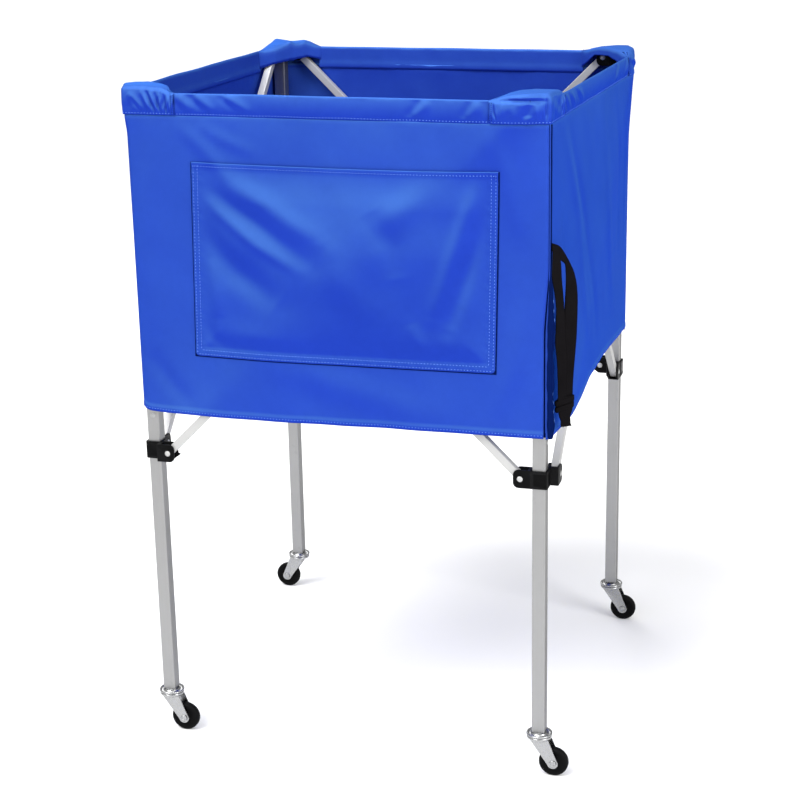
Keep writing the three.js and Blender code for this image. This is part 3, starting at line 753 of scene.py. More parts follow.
def lower_edge(side, place):
    edge = np.array(LOWER_EDGES[side], float)
    smooth_places = np.linspace(-330, 330, 133)
    rise = np.interp(smooth_places, edge[:, 0], edge[:, 1])
    window = np.hanning(15)
    rise = np.convolve(np.pad(rise, 7, mode="edge"), window / window.sum(), mode="valid")
    place = np.asarray(place, float)
    wander = 0.8 * ripple(place, 0.0, 10 * SIDES.index(side) + 4, 90)
    turned = {"front": -place, "left": place}.get(side, np.zeros_like(place))
    near = np.clip((turned - 304) / 15, 0, 0.99)
    rounded = 9.0 * (1 - np.sqrt(1 - near**2))
    return BASKET_BOTTOM + np.interp(place, smooth_places, rise) + wander + rounded


def wall_sheet(side):
    """The wall from its lower edge up to the hem, its left end wrapped round the corner."""
    turn_steps = np.linspace(0, math.pi / 2, 6)[:-1]
    flat = np.linspace(-WALL_END, WALL_END, 118)
    places = np.concatenate([-WALL_END - WRAP_RADIUS * np.cos(turn_steps), flat])
    turned = np.concatenate([1 - np.sin(turn_steps), np.zeros(len(flat))])
    rows = np.concatenate([[0, 0.004, 0.012, 0.018, 0.022], np.linspace(0.03, 1, 84)])
    edge = lower_edge(side, places)[None, :]
    height = edge + (HEM_BOTTOM + 6 - edge) * rows[:, None]
    place = np.broadcast_to(places[None, :], height.shape).copy()
    tucked = WRAP_RADIUS * turned[None, :]
    if side == "front":
        pulled = seam_place(height) - 0.9 - WALL_END
        place += np.where(place > 250, pulled * (place - 250) / (WALL_END - 250), 0.0)
        slim = 3.0 * smooth_step((HEM_BOTTOM - height) / 30)
        place += np.where(place < -250, slim * (-250 - place) / (WALL_END - 250), 0.0)
    if side == "right":
        tucked = (CLOTH_INNER + FACE - seam_place(height) - 0.5) * turned[None, :]
    fold = np.where(height < edge + 9, 0.55, 0.0) * smooth_step((height - edge) / 1.2)
    off = wall_face(side, np.clip(place, -WALL_END, seam_place(height)), height) + fold - tucked
    hidden = smooth_step((height - HEM_EDGE + 1) / 3) * 0.9
    return on_side(place, off - hidden, height)


def hem_sheet(side):
    """The rim's fold between two hoods: up the outside, over the top and down the inside."""
    seed = 10 * SIDES.index(side) + 5
    places = np.linspace(-SEAM - 3.5, SEAM + 3.5, 210)
    shoulder = RIM - 2.4
    outside = np.array([HEM_EDGE, 1002.6, HEM_SEWN, 1006.2, *np.linspace(1009, shoulder, 12)])
    inside = np.concatenate([np.linspace(shoulder, 1003, 11), [1000, 996.5]])
    rows = []
    under_hood = 1.1 * smooth_step((np.abs(places) - SEAM + 1.5) / 3)
    base = wall_inner(RIM, places) - under_hood
    near_seam = np.exp(-(((SEAM - np.abs(places)) / 24) ** 2))
    puffs = 1.3 * np.sin(np.clip((outside - HEM_SEWN) / (RIM - HEM_SEWN), 0, 1) * math.pi) ** 0.7
    for height, puff in zip(outside, puffs):
        drawn = 0.5 * ripple(places, height * 0.6, seed, 75)
        drawn = drawn + 0.16 * ripple(places, height * 0.2, seed + 1, 19)
        drawn = drawn + 0.8 * near_seam * ripple(places, height * 0.35, seed + 4, 9)
        for start, slope in RIM_CREASES:
            path = ((start, RIM - 1), (start + 6 * slope, 1020), (start + 14 * slope, 1007))
            drawn = drawn + crease(places, height, path, 8, 2.0)
            drawn = drawn - crease(places + 11, height, path, 6, 1.3)
        off = base + HEM_FACE + puff + np.maximum(drawn, -1.4) * min(1.0, 0.15 + puff)
        off = off - 1.0 * math.exp((HEM_EDGE - height) / 1.4)
        rows.append(on_side(places, off, height))
    sag = 0.9 * ripple(places, 0.0, seed + 2, 160)
    for turn in np.linspace(0, math.pi, 7)[1:-1]:
        off = base + HEM_FACE / 2 + 0.3 + (HEM_FACE / 2 + 0.2) * math.cos(turn)
        height = shoulder + 2.8 * math.sin(turn) + sag * math.sin(turn)
        rows.append(on_side(places, off, height))
    for height in inside:
        wave = 0.3 * ripple(places, height * 0.5, seed + 3, 40)
        off = base - 0.1 + wave - 0.5 * np.exp(-((height - 1003) ** 2) / 30)
        rows.append(on_side(places, off, height))
    return np.stack(rows)


def hem_stitches(pitch):
    places = np.linspace(-SEAM + 1.5, SEAM - 1.5, 240)
    height = HEM_SEWN + 0.25 * np.sin(places / 17)
    off = wall_inner(RIM, places) + HEM_FACE + 0.3
    return stitches(on_side(places, off, height), (0, -1, 0), pitch, 1.0, 0.5)


def edge_stitches(side, pitch):
    places = np.linspace(-312, 312, 240)
    height = lower_edge(side, places) + 4.5
    off = wall_face(side, places, height) + 0.65
    return stitches(on_side(places, off, height), (0, -1, 0), pitch, 0.8, 0.4)


def squash_to_post(made):
    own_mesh(made)


def stitch_pitch():
    return bpy.context.scene.ball_cart_cloth.stitch_pitch / MM


def make_wall(side):
    turns, body, pitch = SIDES.index(side), POST_OF_WALL[side], stitch_pitch()
    parts = [thick_sheet(wall_sheet(side), WALL_THICKNESS), thick_sheet(hem_sheet(side), RIM_FOLD)]
    made = piece(f"wall_cloth_{side}", parts, "basket cloth", body, f"wall_{side}", turns)
    squash_to_post(made)
    parts = [hem_stitches(pitch), edge_stitches(side, pitch)]
    sewn = piece(f"wall_stitches_{side}", parts, "hem thread", body, None, turns)
    squash_to_post(sewn)


# Hoods


def along_keys(keys, points, shares):
    points = np.asarray(points, float)
    return np.stack([np.interp(shares, keys, points[:, axis]) for axis in range(2)], axis=-1)


def bell(reach):
    """Weights of a running mean over that many neighbours on each side."""
    window = np.hanning(2 * reach + 3)[1:-1]
    return window / window.sum()


def soften(line, reach):
    """A line of points with its corners rounded and its ends kept."""
    before, after = line[reach:0:-1], line[-2 : -reach - 2 : -1]
    padded = np.concatenate([2 * line[:1] - before, line, 2 * line[-1:] - after])
    columns = [np.convolve(column, bell(reach), mode="valid") for column in padded.T]
    return np.stack(columns, axis=-1)


def eased(keys, shares, reach):
    """Values between keys of (share, value), with the bends between them rounded."""
    at = np.array(keys, float)
    values = np.interp(shares, at[:, 0], at[:, 1])
    return np.convolve(np.pad(values, reach, mode="edge"), bell(reach), mode="valid")


# Heights of each hood's roof and of the lower edge of its inner side, along the way round from
# the seam on its own wall to the seam on the wall before it
HOOD_ROOFS = {
    "front_left": (
        (0, 1034.2), (0.08, 1035.4), (0.22, 1042.2), (0.36, 1044.2), (0.64, 1043.8), (0.82, 1041.0),
        (1, 1034.2),
    ),
    "front_right": (
        (0, 1034.2), (0.18, 1041.0), (0.36, 1043.8), (0.60, 1044.6), (0.74, 1042.6), (0.88, 1037.6),
        (1, 1034.2),
    ),
    "back_right": (
        (0, 1034.2), (0.14, 1036.6), (0.28, 1041.8), (0.40, 1044.2), (0.60, 1044.2), (0.80, 1041.5),
        (1, 1034.2),
    ),
    "back_left": (
        (0, 1034.2), (0.20, 1037.5), (0.34, 1042.4), (0.43, 1045.0), (0.50, 1049.0), (0.57, 1044.6),
        (0.66, 1043.9), (0.76, 1046.2), (0.86, 1041.0), (1, 1034.2),
    ),
}
HOOD_SKIRTS = {
    "front_left": ((0, 1008), (0.25, 1024), (0.5, 1029), (0.75, 1024), (1, 1008)),
    "front_right": ((0, 1008), (0.25, 1024), (0.5, 1029), (0.75, 1024), (1, 1008)),
    "back_right": ((0, 1006), (0.14, 1016), (0.30, 1030), (0.60, 1031), (0.78, 1024), (1, 1010)),
    "back_left": ((0, 1004), (0.2, 1011), (0.5, 1014), (0.8, 1018), (1, 1012)),
}

# Folds in each hood's outer side: points of (millimetres round, height), width and depth
HOOD_FOLDS = {
    "front_left": (
        (((74, 1034), (60, 1020), (48, 1004)), 5.0, 2.2),
        (((69, 1028), (58, 1013), (52, 1005)), 3.5, -2.0),
        (((52, 1038), (44, 1022), (36, 1004)), 4.0, 2.4),
        (((45, 1038), (38, 1022), (31, 1006)), 3.0, -2.2),
        (((38, 1037), (32, 1020), (26, 1004)), 3.0, 2.2),
        (((30, 1035), (26, 1019), (22, 1004)), 2.4, -2.0),
        (((23, 1034), (21, 1018), (18, 1003)), 2.4, 2.4),
        (((16, 1034), (14, 1018), (12, 1004)), 2.2, -2.0),
        (((9, 1033), (7, 1018), (5, 1004)), 2.2, 2.0),
    ),
    "front_right": (
        (((169, 1033), (168.5, 1018), (167.5, 1005)), 1.8, -2.4),
        (((162, 1035), (160, 1018), (156, 1004)), 1.8, -2.2),
        (((110, 1031), (114, 1016), (124, 1002)), 6.0, -4.6),
        (((103, 1034), (102, 1018), (99, 1004)), 3.4, 1.6),
        (((134, 1028), (132, 1015), (138, 1004)), 6.5, 1.2),
        (((166, 1034.5), (150, 1034.5), (120, 1034), (88, 1033.5)), 2.6, -4.2),
        (((16, 1036), (12, 1018), (10, 1003)), 3.0, 2.6),
        (((9, 1035), (6, 1018), (5, 1003)), 2.6, -2.4),
        (((24, 1038), (24, 1022), (20, 1004)), 3.0, -1.8),
        (((86, 1041), (86.5, 1020), (86.5, 1002)), 2.0, -3.0),
    ),
    "back_right": (
        (((160, 1030), (130, 1022), (104, 1008)), 5.0, 2.2),
        (((150, 1020), (128, 1012), (112, 1004)), 4.0, -2.0),
        (((60, 1036), (40, 1020), (30, 1005)), 4.0, 2.2),
    ),
    "back_left": (
        (((70, 1038), (50, 1020), (44, 1004)), 4.5, 3.0),
        (((30, 1034), (24, 1018), (20, 1004)), 3.5, -2.4),
        (((120, 1038), (132, 1020), (136, 1004)), 4.5, 2.8),
    ),
}


# How far each hood stands off what it covers, on its own wall and on the wall before it
HOOD_SLACK = {
    "front_left": (2.8, 0.0),
    "front_right": (2.4, 4.2),
    "back_right": (1.4, 0.9),
    "back_left": (1.6, 1.2),
}


HOOD_ROWS = 27

# A hood's outer line in plan, as shares of the way round and points, and its inner line
HOOD_OUTER = (
    (0, 0.19, 0.40, 0.47, 0.50, 0.53, 0.65, 0.82, 1),
    (
        (-SEAM, -323.0), (-256.1, -322.0), (-300, -321.0), (-313, -320.9), (-319.8, -319.8),
        (-320.9, -313), (-331.9, -291.7), (-331.9, -256.1), (-331.6, -SEAM),
    ),
)
HOOD_INNER = (
    (0, 0.21, 0.50, 0.79, 1),
    ((-SEAM, -319.4), (-256.1, -295.7), (-283, -277), (-308.3, -256.1), (-327.8, -SEAM)),
)


def hood_sheet(corner):
    """The fold opened out over a leg, laid out as the front left one: from the front seam round
    to the left one."""
    index = CORNERS.index(corner)
    seed = HOOD_SEED + 7 * index
    deep = bpy.context.scene.ball_cart_cloth.crease_share
    shares = np.linspace(0, 1, 221)
    outer = soften(along_keys(*HOOD_OUTER, shares), 6)
    inner = soften(along_keys(*HOOD_INNER, shares), 8)
    top = eased(HOOD_ROOFS[corner], shares, 7)
    skirt = eased(HOOD_SKIRTS[corner], shares, 7)
    from_seam = smooth_step(np.minimum(shares, 1 - shares) / 0.16)
    across = inner - outer
    width = np.linalg.norm(across, axis=1, keepdims=True)
    inward = across / width
    along = np.gradient(outer, axis=0)
    outward = np.stack([along[:, 1], -along[:, 0]], axis=-1)
    outward /= np.linalg.norm(outward, axis=1, keepdims=True)
    if (outward * inward).sum() > 0:
        outward = -outward
    run = np.concatenate([[0], np.cumsum(np.linalg.norm(np.diff(outer, axis=0), axis=1))])
    round_over = np.minimum(5.5, width[:, 0] / 2.2)
    slack_from, slack_to = HOOD_SLACK[corner]
    loose = slack_from + (slack_to - slack_from) * smooth_step((run - 78) / 12)
    gathered = 1.8 * np.exp(-(((run - 14) / 17) ** 2)) + 0.7 * np.exp(-(((run - 158) / 12) ** 2))

    # The lower edge follows the two walls that it covers
    before = np.arange(len(outer)) > len(outer) / 2
    own_place, far_place = np.clip((outer[:, 0], -outer[:, 1]), -WALL_END, WALL_END)
    own_gap = wall_face(SIDES[index], own_place, HEM_EDGE) + outer[:, 1]
    far_gap = wall_face(SIDES[index - 1], far_place, HEM_EDGE) + outer[:, 0]
    to_wall = np.clip(np.where(before, far_gap, own_gap) + 0.5, -2.0, 9.0)
    to_wall = soften(np.column_stack([run, to_wall]), 5)[:, 1]

    rows = []
    for share in np.concatenate([[0, 0.04], np.linspace(0.08, 1, HOOD_ROWS)]):
        height = HEM_EDGE + (top - round_over - HEM_EDGE) * share
        pull = 0.9 * ripple(run, height * 0.9, seed, 24)
        pull = pull + 0.5 * ripple(run, height * 0.4, seed + 1, 11)
        for path, reach, depth in HOOD_FOLDS[corner]:
            pull = pull + deep * crease(run, height, path, reach, depth)
        pull = pull + gathered * ripple(run, height * 0.35 + 0.6 * run, seed + 5, 6.5)
        bunched = min(1.0, 0.10 + 2.6 * share)
        off = loose * math.sin(math.pi * (0.03 + 0.82 * share)) ** 0.6 + pull * bunched
        low = smooth_step(share / 0.3)
        hugging = np.maximum(to_wall, np.minimum(to_wall * (1 - low), 0))
        off = np.maximum(off, -0.7) + hugging * (1 - 0.5 * share)
        rows.append(np.column_stack([outer + outward * off[:, None], height]))
    edge_off = (rows[-1][:, :2] - outer) * 0.6
    for turn in np.linspace(0, math.pi / 2, 6)[1:]:
        back = (round_over * (1 - math.cos(turn)))[:, None]
        spot = outer + edge_off * math.cos(turn) + inward * back
        rows.append(np.column_stack([spot, top - round_over * (1 - math.sin(turn))]))
    for share in (0.3, 0.5, 0.7):
        rise = np.maximum(0.8 * ripple(run, 30.0 * share, seed + 3, 26), 0) * from_seam
        rows.append(np.column_stack([outer + across * share, top + rise]))
    for turn in np.linspace(0, math.pi / 2, 4):
        ahead = (round_over * (1 - math.sin(turn)))[:, None]
        spot = inner - inward * ahead
        rows.append(np.column_stack([spot, top - round_over * (1 - math.cos(turn))]))
    low = np.minimum(skirt + 0.9 * ripple(run, 0.0, seed + 4, 30), top - round_over - 1.2)
    for share in (0.25, 0.55, 0.8, 1):
        height = (top - round_over) * (1 - share) + low * share
        rows.append(np.column_stack([inner + inward * (0.25 * share), height]))
    return np.stack(rows), outer, outward


def make_hood(corner):
    turns, body = CORNERS.index(corner), f"{corner}_post"
    grid, outer, outward = hood_sheet(corner)
    parts = [thick_sheet(grid[:, ::-1], 1.0)]
    made = piece(
        f"hood_cloth_{corner}", parts, "basket cloth", body, f"rim_hood_{corner}", turns
    )
    normal = np.column_stack([outward, np.zeros(len(outward))])
    low = grid[1:3].mean(axis=0) + normal * 0.2
    low[:, 2] = HEM_SEWN
    parts = [stitches(low[3:-3], normal[3:-3], stitch_pitch(), 1.0, 0.5)]
    piece(f"hood_stitches_{corner}", parts, "hem thread", body, None, turns)
    # The seams up the hood are sewn in the darker seam cloth: dark stitches of painted shade in the
    # seam lines.
    parts = []
    for column in (2, 8, -3, -9):
        path = grid[1 : HOOD_ROWS + 2, column] + normal[column] * 0.2
        wander = np.sin(np.arange(len(path)) * 1.4)[:, None] * 0.5
        path[:, :2] += np.gradient(outer, axis=0)[column] * wander
        parts.append(stitches(path, normal[column], 2.6, 1.3, 0.35))
    piece(f"hood_seams_{corner}", parts, "seam cloth", body, None, turns)


# Pocket


def pocket_point(across, up):
    """Place and height on the wall of a point of the pocket, given as shares."""
    place = POCKET_CENTRE - POCKET_LEAN * (1 - up) + POCKET_WIDTH * (across - 0.5)
    return place, POCKET_BOTTOM + POCKET_TALL * up


def on_pocket(across, up, rise=0.0):
    """Points of the pocket's outer side, at shares of its width and height."""
    place, height = pocket_point(across, up)
    to_side = np.minimum(across, 1 - across) * POCKET_WIDTH
    to_bottom = up * POCKET_TALL
    to_top = (1 - up) * POCKET_TALL
    sewn = np.minimum(to_side, to_bottom)
    free = 1 - np.exp(-((np.maximum(sewn - 8, 0) / 22) ** 2))
    slack = np.zeros(np.broadcast(across, up).shape)
    for path, reach, depth in POCKET_FOLDS:
        real = [(share * POCKET_WIDTH, lift * POCKET_TALL) for share, lift in path]
        slack = slack + crease(across * POCKET_WIDTH, up * POCKET_TALL, real, reach, depth)
    slack = slack + ripple(place, height, POCKET_SEED, 85) + POCKET_SLACK
    belly = smooth_step(to_top / 130) * smooth_step(to_bottom / 170)
    slack = slack + POCKET_BELLY * np.sin(math.pi * across) * belly
    hem = 0.7 * smooth_step((12 - sewn) / 2) + 0.5 * smooth_step((8 - to_top) / 2)
    top_gap = 0.5 * np.exp(-to_top / 26) * smooth_step(to_side / 30)
    free = free * (0.25 + 0.75 * smooth_step(to_top / 60))
    pucker = 0.75 * ripple(place + height, 0.0, POCKET_SEED + 1, 8) * smooth_step((20 - sewn) / 10)
    off = POCKET_FACE + hem + np.maximum(slack, 0.2) * free + top_gap + pucker + rise
    front = wall_face("front", place, height) - FACE
    return on_side(place, front + off, height)


def pocket_piece(name, parts, finish, stands_for=None):
    return piece(name, parts, finish, "front_left_post", stands_for)


def make_pocket():
    across = np.concatenate([[0, 0.004], np.linspace(0.012, 0.988, 120), [0.996, 1]])
    up = np.concatenate([[0, 0.006], np.linspace(0.02, 0.94, 78), [0.955, 0.97, 0.985, 0.996, 1]])
    shares, lifts = np.meshgrid(across, up)
    side = np.minimum(shares, 1 - shares) * POCKET_WIDTH
    near = np.clip(CORNER_CUT - side, 0, CORNER_CUT)
    rise = CORNER_CUT - np.sqrt(np.maximum(CORNER_CUT**2 - near**2, 0))
    raised = lifts + rise / POCKET_TALL * np.exp(-lifts * POCKET_TALL / 12)
    grid = on_pocket(shares, np.minimum(raised, 1))
    grid[..., 2] -= TOP_SAG * np.sin(shares * math.pi) * np.exp(-(1 - lifts) * 9)
    made = pocket_piece("pocket_cloth", [thick_sheet(grid, 1.1)], "basket cloth", "front_pocket")
    squash_to_post(made)

    # Painted shadow: a thin strip of the darker seam cloth just outside the pocket's sides and
    # bottom, where the pocket's edge shades the wall.
    edges = []
    for spread in (-2.4, 1.9):
        along = np.linspace(1, 0, 60)
        down = np.full_like(along, -spread / POCKET_WIDTH)
        level = np.linspace(0, 1, 90)[1:-1]
        a = np.concatenate([down, level, 1 - down])
        u = np.concatenate([along, np.zeros_like(level), along[::-1]])
        place, height = pocket_point(a, np.where(u < 0.004, -spread / POCKET_TALL, u))
        edges.append(on_side(place, wall_face("front", place, height) + 0.6, height))
    seam = np.stack([edges[1], (edges[0] + edges[1]) / 2 - np.array([0, 0.5, 0]), edges[0]])
    pocket_shadow_strip = pocket_piece("pocket_seam", [thick_sheet(seam, 0.5)], "seam cloth")
    squash_to_post(pocket_shadow_strip)

    runs = []
    for inset in (3.0, 9.5):
        a, u = inset / POCKET_WIDTH, inset / POCKET_TALL
        line = np.linspace(u + 0.004, 1 - 0.012, 160)
        runs += [on_pocket(np.full_like(line, share), line, 0.15) for share in (a, 1 - a)]
        line = np.linspace(a + 0.003, 1 - a - 0.003, 220)
        runs.append(on_pocket(line, np.full_like(line, u), 0.15))
    line = np.linspace(0.008, 0.992, 240)
    from_top = TOP_STITCHES / POCKET_TALL
    runs.append(on_pocket(line, np.full_like(line, 1 - from_top), 0.2))
    runs[-1][:, 2] -= TOP_SAG * np.sin(line * math.pi) * math.exp(-9 * from_top)
    parts = [stitches(run, (0, -1, 0), stitch_pitch(), 0.9, 0.5) for run in runs]
    squash_to_post(pocket_piece("pocket_stitches", parts, "hem thread"))


# Floor of the basket


def make_floor(front):
    name = "front" if front else "back"
    sign = -1.0 if front else 1.0
    straight = -float(ridge_place(FLOOR_HEIGHT)) - BAR_HALF_CHORD - FLOOR_CUT
    reach = float(wall_inner(FLOOR_HEIGHT, 0.0)) - 1.2
    columns = np.linspace(-1, 1, 92)
    rows = []
    for share in np.linspace(0, 1, 46):
        y = sign * (0.3 + (reach - 0.3) * share)
        past = max(0.0, abs(y) - straight) / (reach - straight)
        half_width = reach - (reach - straight) * past - 0.4
        x = columns * half_width
        level = np.full_like(x, y)
        plane = FLOOR_HEIGHT - FLOOR_SAG * (1 - abs(y) / reach)
        to_end = 1 - np.abs(columns)
        sag = -3.2 * smooth_step(np.minimum(to_end, 1 - share) * 5)
        sag = sag + 0.7 * ripple(x, level, FLOOR_SEED, 60)
        turned_up = 5.0 * np.exp(-(to_end * half_width / 4))
        turned_up = turned_up + 5.0 * math.exp(-((1 - share) * reach) / 4)
        z = plane + sag * smooth_step(share * 40 + 0.2) + np.minimum(turned_up, 5.0)
        rows.append(np.stack([x, level, z], axis=-1))
    grid = np.stack(rows[::-1] if front else rows)
    made = piece(
        f"floor_cloth_{name}", [thick_sheet(grid, 1.2)], "basket cloth", f"floor_{name}_half",
        f"floor_{name}",
    )
    squash_to_post(made)


# Strap

STRAP_TURN = math.radians(58)
STRAP_EDGE = (322.1, -318.3)  # where the flat strap meets the right wall, in x and y

# Edges of the two bands and of the tail below the keeper, as (from the sewn edge, height)
OUTER_BAND = (
    ((0.9, 824), (8, 816.5), (18.8, 808), (29.8, 801), (30.6, 784.7), (29.8, 770.3), (28.8, 748.6),
     (27.4, 724.0), (24.4, 697.7), (22.6, 675.8), (21.8, 649.1), (20, 622.5), (19.2, 595.6)),
    ((0.8, 835.3), (14, 830.5), (24.2, 820), (34.5, 806), (44.2, 789.4), (50, 771), (53.6, 746.8),
     (54, 717.2), (52.8, 692.2), (50.4, 670.3), (48.6, 643.7), (47, 616.8), (46.4, 592)),
)
INNER_BAND = (
    ((0.5, 832), (0.2, 808.4), (0.8, 785.2), (5.6, 764), (8.9, 740.2), (8.7, 710.9), (6.3, 686.4),
     (9.8, 660.5), (12.1, 633.2), (12.4, 594)),
    ((11, 830), (16.4, 805.3), (18.8, 781.6), (21.2, 760.9), (23.2, 737.2), (28.0, 709.5),
     (29.7, 681.8), (32.1, 656), (32.4, 629), (32.8, 592)),
)
TAIL = (
    ((12.8, 606), (12.2, 593), (16.4, 580), (19.6, 570), (20.6, 560.5)),
    ((46.6, 604), (46, 590), (39.8, 576), (39.2, 567), (42.8, 557.5)),
)

KEEPER_MIDDLE = (28.7, 0.9)
KEEPER_SECTION = (
    (-4.0, 0.0), (-3.4, 0.75), (0, 0.9), (3.4, 0.75), (4.0, 0.0), (3.2, -0.6), (-3.2, -0.6),
)


def strap_spot(across, height, off):
    """A point of the strap's flat plane, off it towards the front."""
    c, s = math.cos(STRAP_TURN), math.sin(STRAP_TURN)
    across, off = np.asarray(across, float), np.asarray(off, float)
    x = STRAP_EDGE[0] + across * c + off * s
    y = STRAP_EDGE[1] + across * s - off * c
    return np.stack([x, y, np.broadcast_to(np.asarray(height, float), x.shape)], axis=-1)


def band(edges, off, twist, thickness=1.5, rows=64):
    """A woven band between its two edges, thicker in its middle than at its selvedges."""
    shares = np.linspace(0, 1, rows)
    left, right = (
        soften(along_keys(np.linspace(0, 1, len(edge)), edge, shares), 2) for edge in edges
    )
    lateral = np.linspace(0, 1, 9)
    across = left[:, :1] + (right[:, :1] - left[:, :1]) * lateral
    height = left[:, 1:] + (right[:, 1:] - left[:, 1:]) * lateral
    cupped = off + twist * (2 * lateral - 1) * np.sin(shares * math.pi * 1.6)[:, None]
    cupped = cupped + 0.5 * np.sin(shares * 19)[:, None]
    section = np.full(across.shape, thickness)
    section[:, [0, -1]] = thickness * 0.6
    return thick_sheet(strap_spot(across, height, cupped), section)


def keeper_loop(height, half_width):
    """A flat loop of webbing round both bands, seen from above as a box with round corners."""
    turns = np.linspace(0, 2 * math.pi, 33)[:-1]
    c, s = np.cos(turns), np.sin(turns)
    wide = half_width * np.sign(c) * abs(c) ** 0.35
    deep = 3.3 * np.sign(s) * abs(s) ** 0.6
    lead = np.column_stack([wide, deep]) / np.hypot(wide, deep)[:, None]
    rows = []
    for lift, out in KEEPER_SECTION:
        across = KEEPER_MIDDLE[0] + wide + lead[:, 0] * out
        off = KEEPER_MIDDLE[1] + deep + lead[:, 1] * out
        rows.append(strap_spot(across, height + 1.4 * c + lift, off))
    return looped(np.stack(rows))


def make_strap():
    parts = [
        band(OUTER_BAND, 0.6, 1.1),
        band(INNER_BAND, 2.2, 1.0),
        band(TAIL, 1.3, 0.4, 2.4, 24),
    ]
    piece("strap_webbing", parts, "strap webbing", "front_right_post", "carry_strap")
    parts = [keeper_loop(599.0, 18.2), keeper_loop(589.5, 17.6)]
    piece(
        "strap_keeper_loops", parts, "strap webbing", "front_right_post", "strap_keeper"
    )


GATHER_TOP = 812.0
GATHER_SPOT = (321.6, -319.0)


def make_corner_gather():
    """The cloth folded away in the corner's seam, and bunched between it and the strap, all in the
    darker seam cloth as painted shade.
    """
    heights = np.linspace(547, GATHER_TOP, 100)
    turns = np.linspace(-0.15 * math.pi, 0.85 * math.pi, 16)
    taper = smooth_step((GATHER_TOP - heights) / 90) * smooth_step((heights - 540) / 12)
    rows = []
    for height, share in zip(heights, taper):
        uneven = 1 + 0.16 * math.sin(height / 11) + 0.12 * math.sin(height / 4.7)
        radius = 0.8 + 4.6 * share * uneven
        folds = 1 + 0.16 * np.sin(turns * 7 + height / 31)
        x = GATHER_SPOT[0] + radius * folds * np.cos(turns - 0.5)
        y = GATHER_SPOT[1] - radius * 0.62 * folds * np.sin(turns - 0.5)
        rows.append(np.stack([x, y, np.full_like(x, height)], axis=-1))
    bunched = np.stack(rows)[:, ::-1]
    # The strip folded into the seam is dark as painted shade in the gap between the front and right
    # walls.
    heights = np.linspace(548, 1001, 90)
    lateral = np.linspace(-2.4, 2.6, 5)
    place = seam_place(heights)[:, None] + lateral
    off = 318.9 - 0.35 * lateral**2 + 0.3 * np.sin(heights / 9)[:, None]
    folded = on_side(place, off, heights[:, None])
    parts = [thick_sheet(bunched, 0.7), thick_sheet(folded, 0.6)]
    piece("corner_gather", parts, "seam cloth", "front_right_post")
    ridge = bunched[8:80, 11] + np.array([0.2, -0.3, 0])
    parts = [stitches(ridge, (0.3, -1, 0), 13.0, 0.6, 0.3)]
    piece("corner_gather_stitches", parts, "hem thread", "front_right_post")


# Frame, brackets and casters


def rounded_copy(node_name, body, radius):
    """A copy of a bracket's solid with its edges rounded, which stands for it."""
    name = f"{node_name}_moulding"
    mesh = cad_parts[node_name].data.copy()
    work = bmesh.new()
    work.from_mesh(mesh)
    bmesh.ops.remove_doubles(work, verts=work.verts, dist=1e-6)
    level = math.radians(0.5)
    bmesh.ops.dissolve_limit(work, angle_limit=level, verts=work.verts, edges=work.edges)
    work.to_mesh(mesh)
    work.free()
    mesh.materials.clear()
    mesh.materials.append(material("moulded nylon"))
    made = in_scene(name, mesh)
    rounding = made.modifiers.new("rounding", "BEVEL")
    rounding.width = radius
    rounding.segments = 2
    rounding.limit_method = "ANGLE"
    rounding.angle_limit = math.radians(38)
    rounding.harden_normals = False
    bpy.context.view_layer.update()
    graph = bpy.context.evaluated_depsgraph_get()
    done = bpy.data.meshes.new_from_object(made.evaluated_get(graph))
    made.modifiers.clear()
    made.data = done
    done.shade_smooth()
    done.set_sharp_from_angle(angle=math.radians(32))
    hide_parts(node_name)
    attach(made, body)


def lathe(profile, facets, axis="Z"):
    """Points and faces of a closed profile of (radius, height) pairs turned about an axis."""
    turns = np.linspace(0, 2 * math.pi, facets + 1)[:-1]
    radius, height = np.array(profile, float).T[..., None]
    x, y, z = radius * np.cos(turns), radius * np.sin(turns), height * np.ones(facets)
    return looped(np.stack([x, z, -y] if axis == "Y" else [x, y, z], axis=-1))


def corner_spot(corner):
    x = -LEG_CENTRE if corner.endswith("left") else LEG_CENTRE
    y = -LEG_CENTRE if corner.startswith("front") else LEG_CENTRE
    return x, y


FORK_INNER = 8.8  # from the wheel's middle to each cheek
TRAIL = 22.8  # of each wheel behind its stem
WHEEL_RADIUS = 23.0
EYE_RADIUS = 8.5
FORK_FRONT, FORK_REAR = (15.2, 62.2), (-14.6, 62.2)  # upper corners of a fork's cheek

# Closed profiles as (radius, height) pairs, the wheel's and the axle's along Y
TYRE = (
    (3.3, -7.7), (7.6, -7.8), (8.8, -7.3), (9.4, -6.0), (15.8, -5.8), (16.6, -6.2), (19.6, -6.3),
    (21.4, -5.5), (22.6, -3.9), (23.0, -2.0), (23.0, 2.0), (22.6, 3.9), (21.4, 5.5), (19.6, 6.3),
    (16.6, 6.2), (15.8, 5.8), (9.4, 6.0), (8.8, 7.3), (7.6, 7.8), (3.3, 7.7),
)
CROWN = (
    (3.3, 60.5), (16.6, 60.5), (18.2, 61.0), (19.2, 62.2), (19.5, 63.4), (19.2, 64.9), (18.2, 65.9),
    (16.6, 66.3), (3.3, 66.3),
)
HALF_AXLE = (
    (0.01, -12.1), (2.3, -12.1), (2.8, -12.9), (4.2, -12.8), (5.0, -12.1), (5.2, -11.0),
    (3.0, -10.9),
)
RACE = (
    (0.01, 66.6), (18.4, 66.6), (19.6, 66.9), (20.2, 67.7), (20.1, 68.9), (19.4, 69.8),
    (18.6, 69.9), (18.0, 69.2), (17.4, 68.0), (15.6, 67.5), (13.6, 67.8), (12.4, 69.0),
    (11.6, 70.2), (0.01, 71.2),
)
STEM_PIN = (
    (0.01, 58.7), (4.6, 58.7), (5.3, 59.0), (5.5, 59.6), (5.2, 60.1), (3.0, 60.2), (3.0, 66.8),
    (0.01, 66.8),
)
PLUG = ((9.6, 70.6), (9.9, 70.9), (9.9, 72.4))  # half widths and heights of the square plug

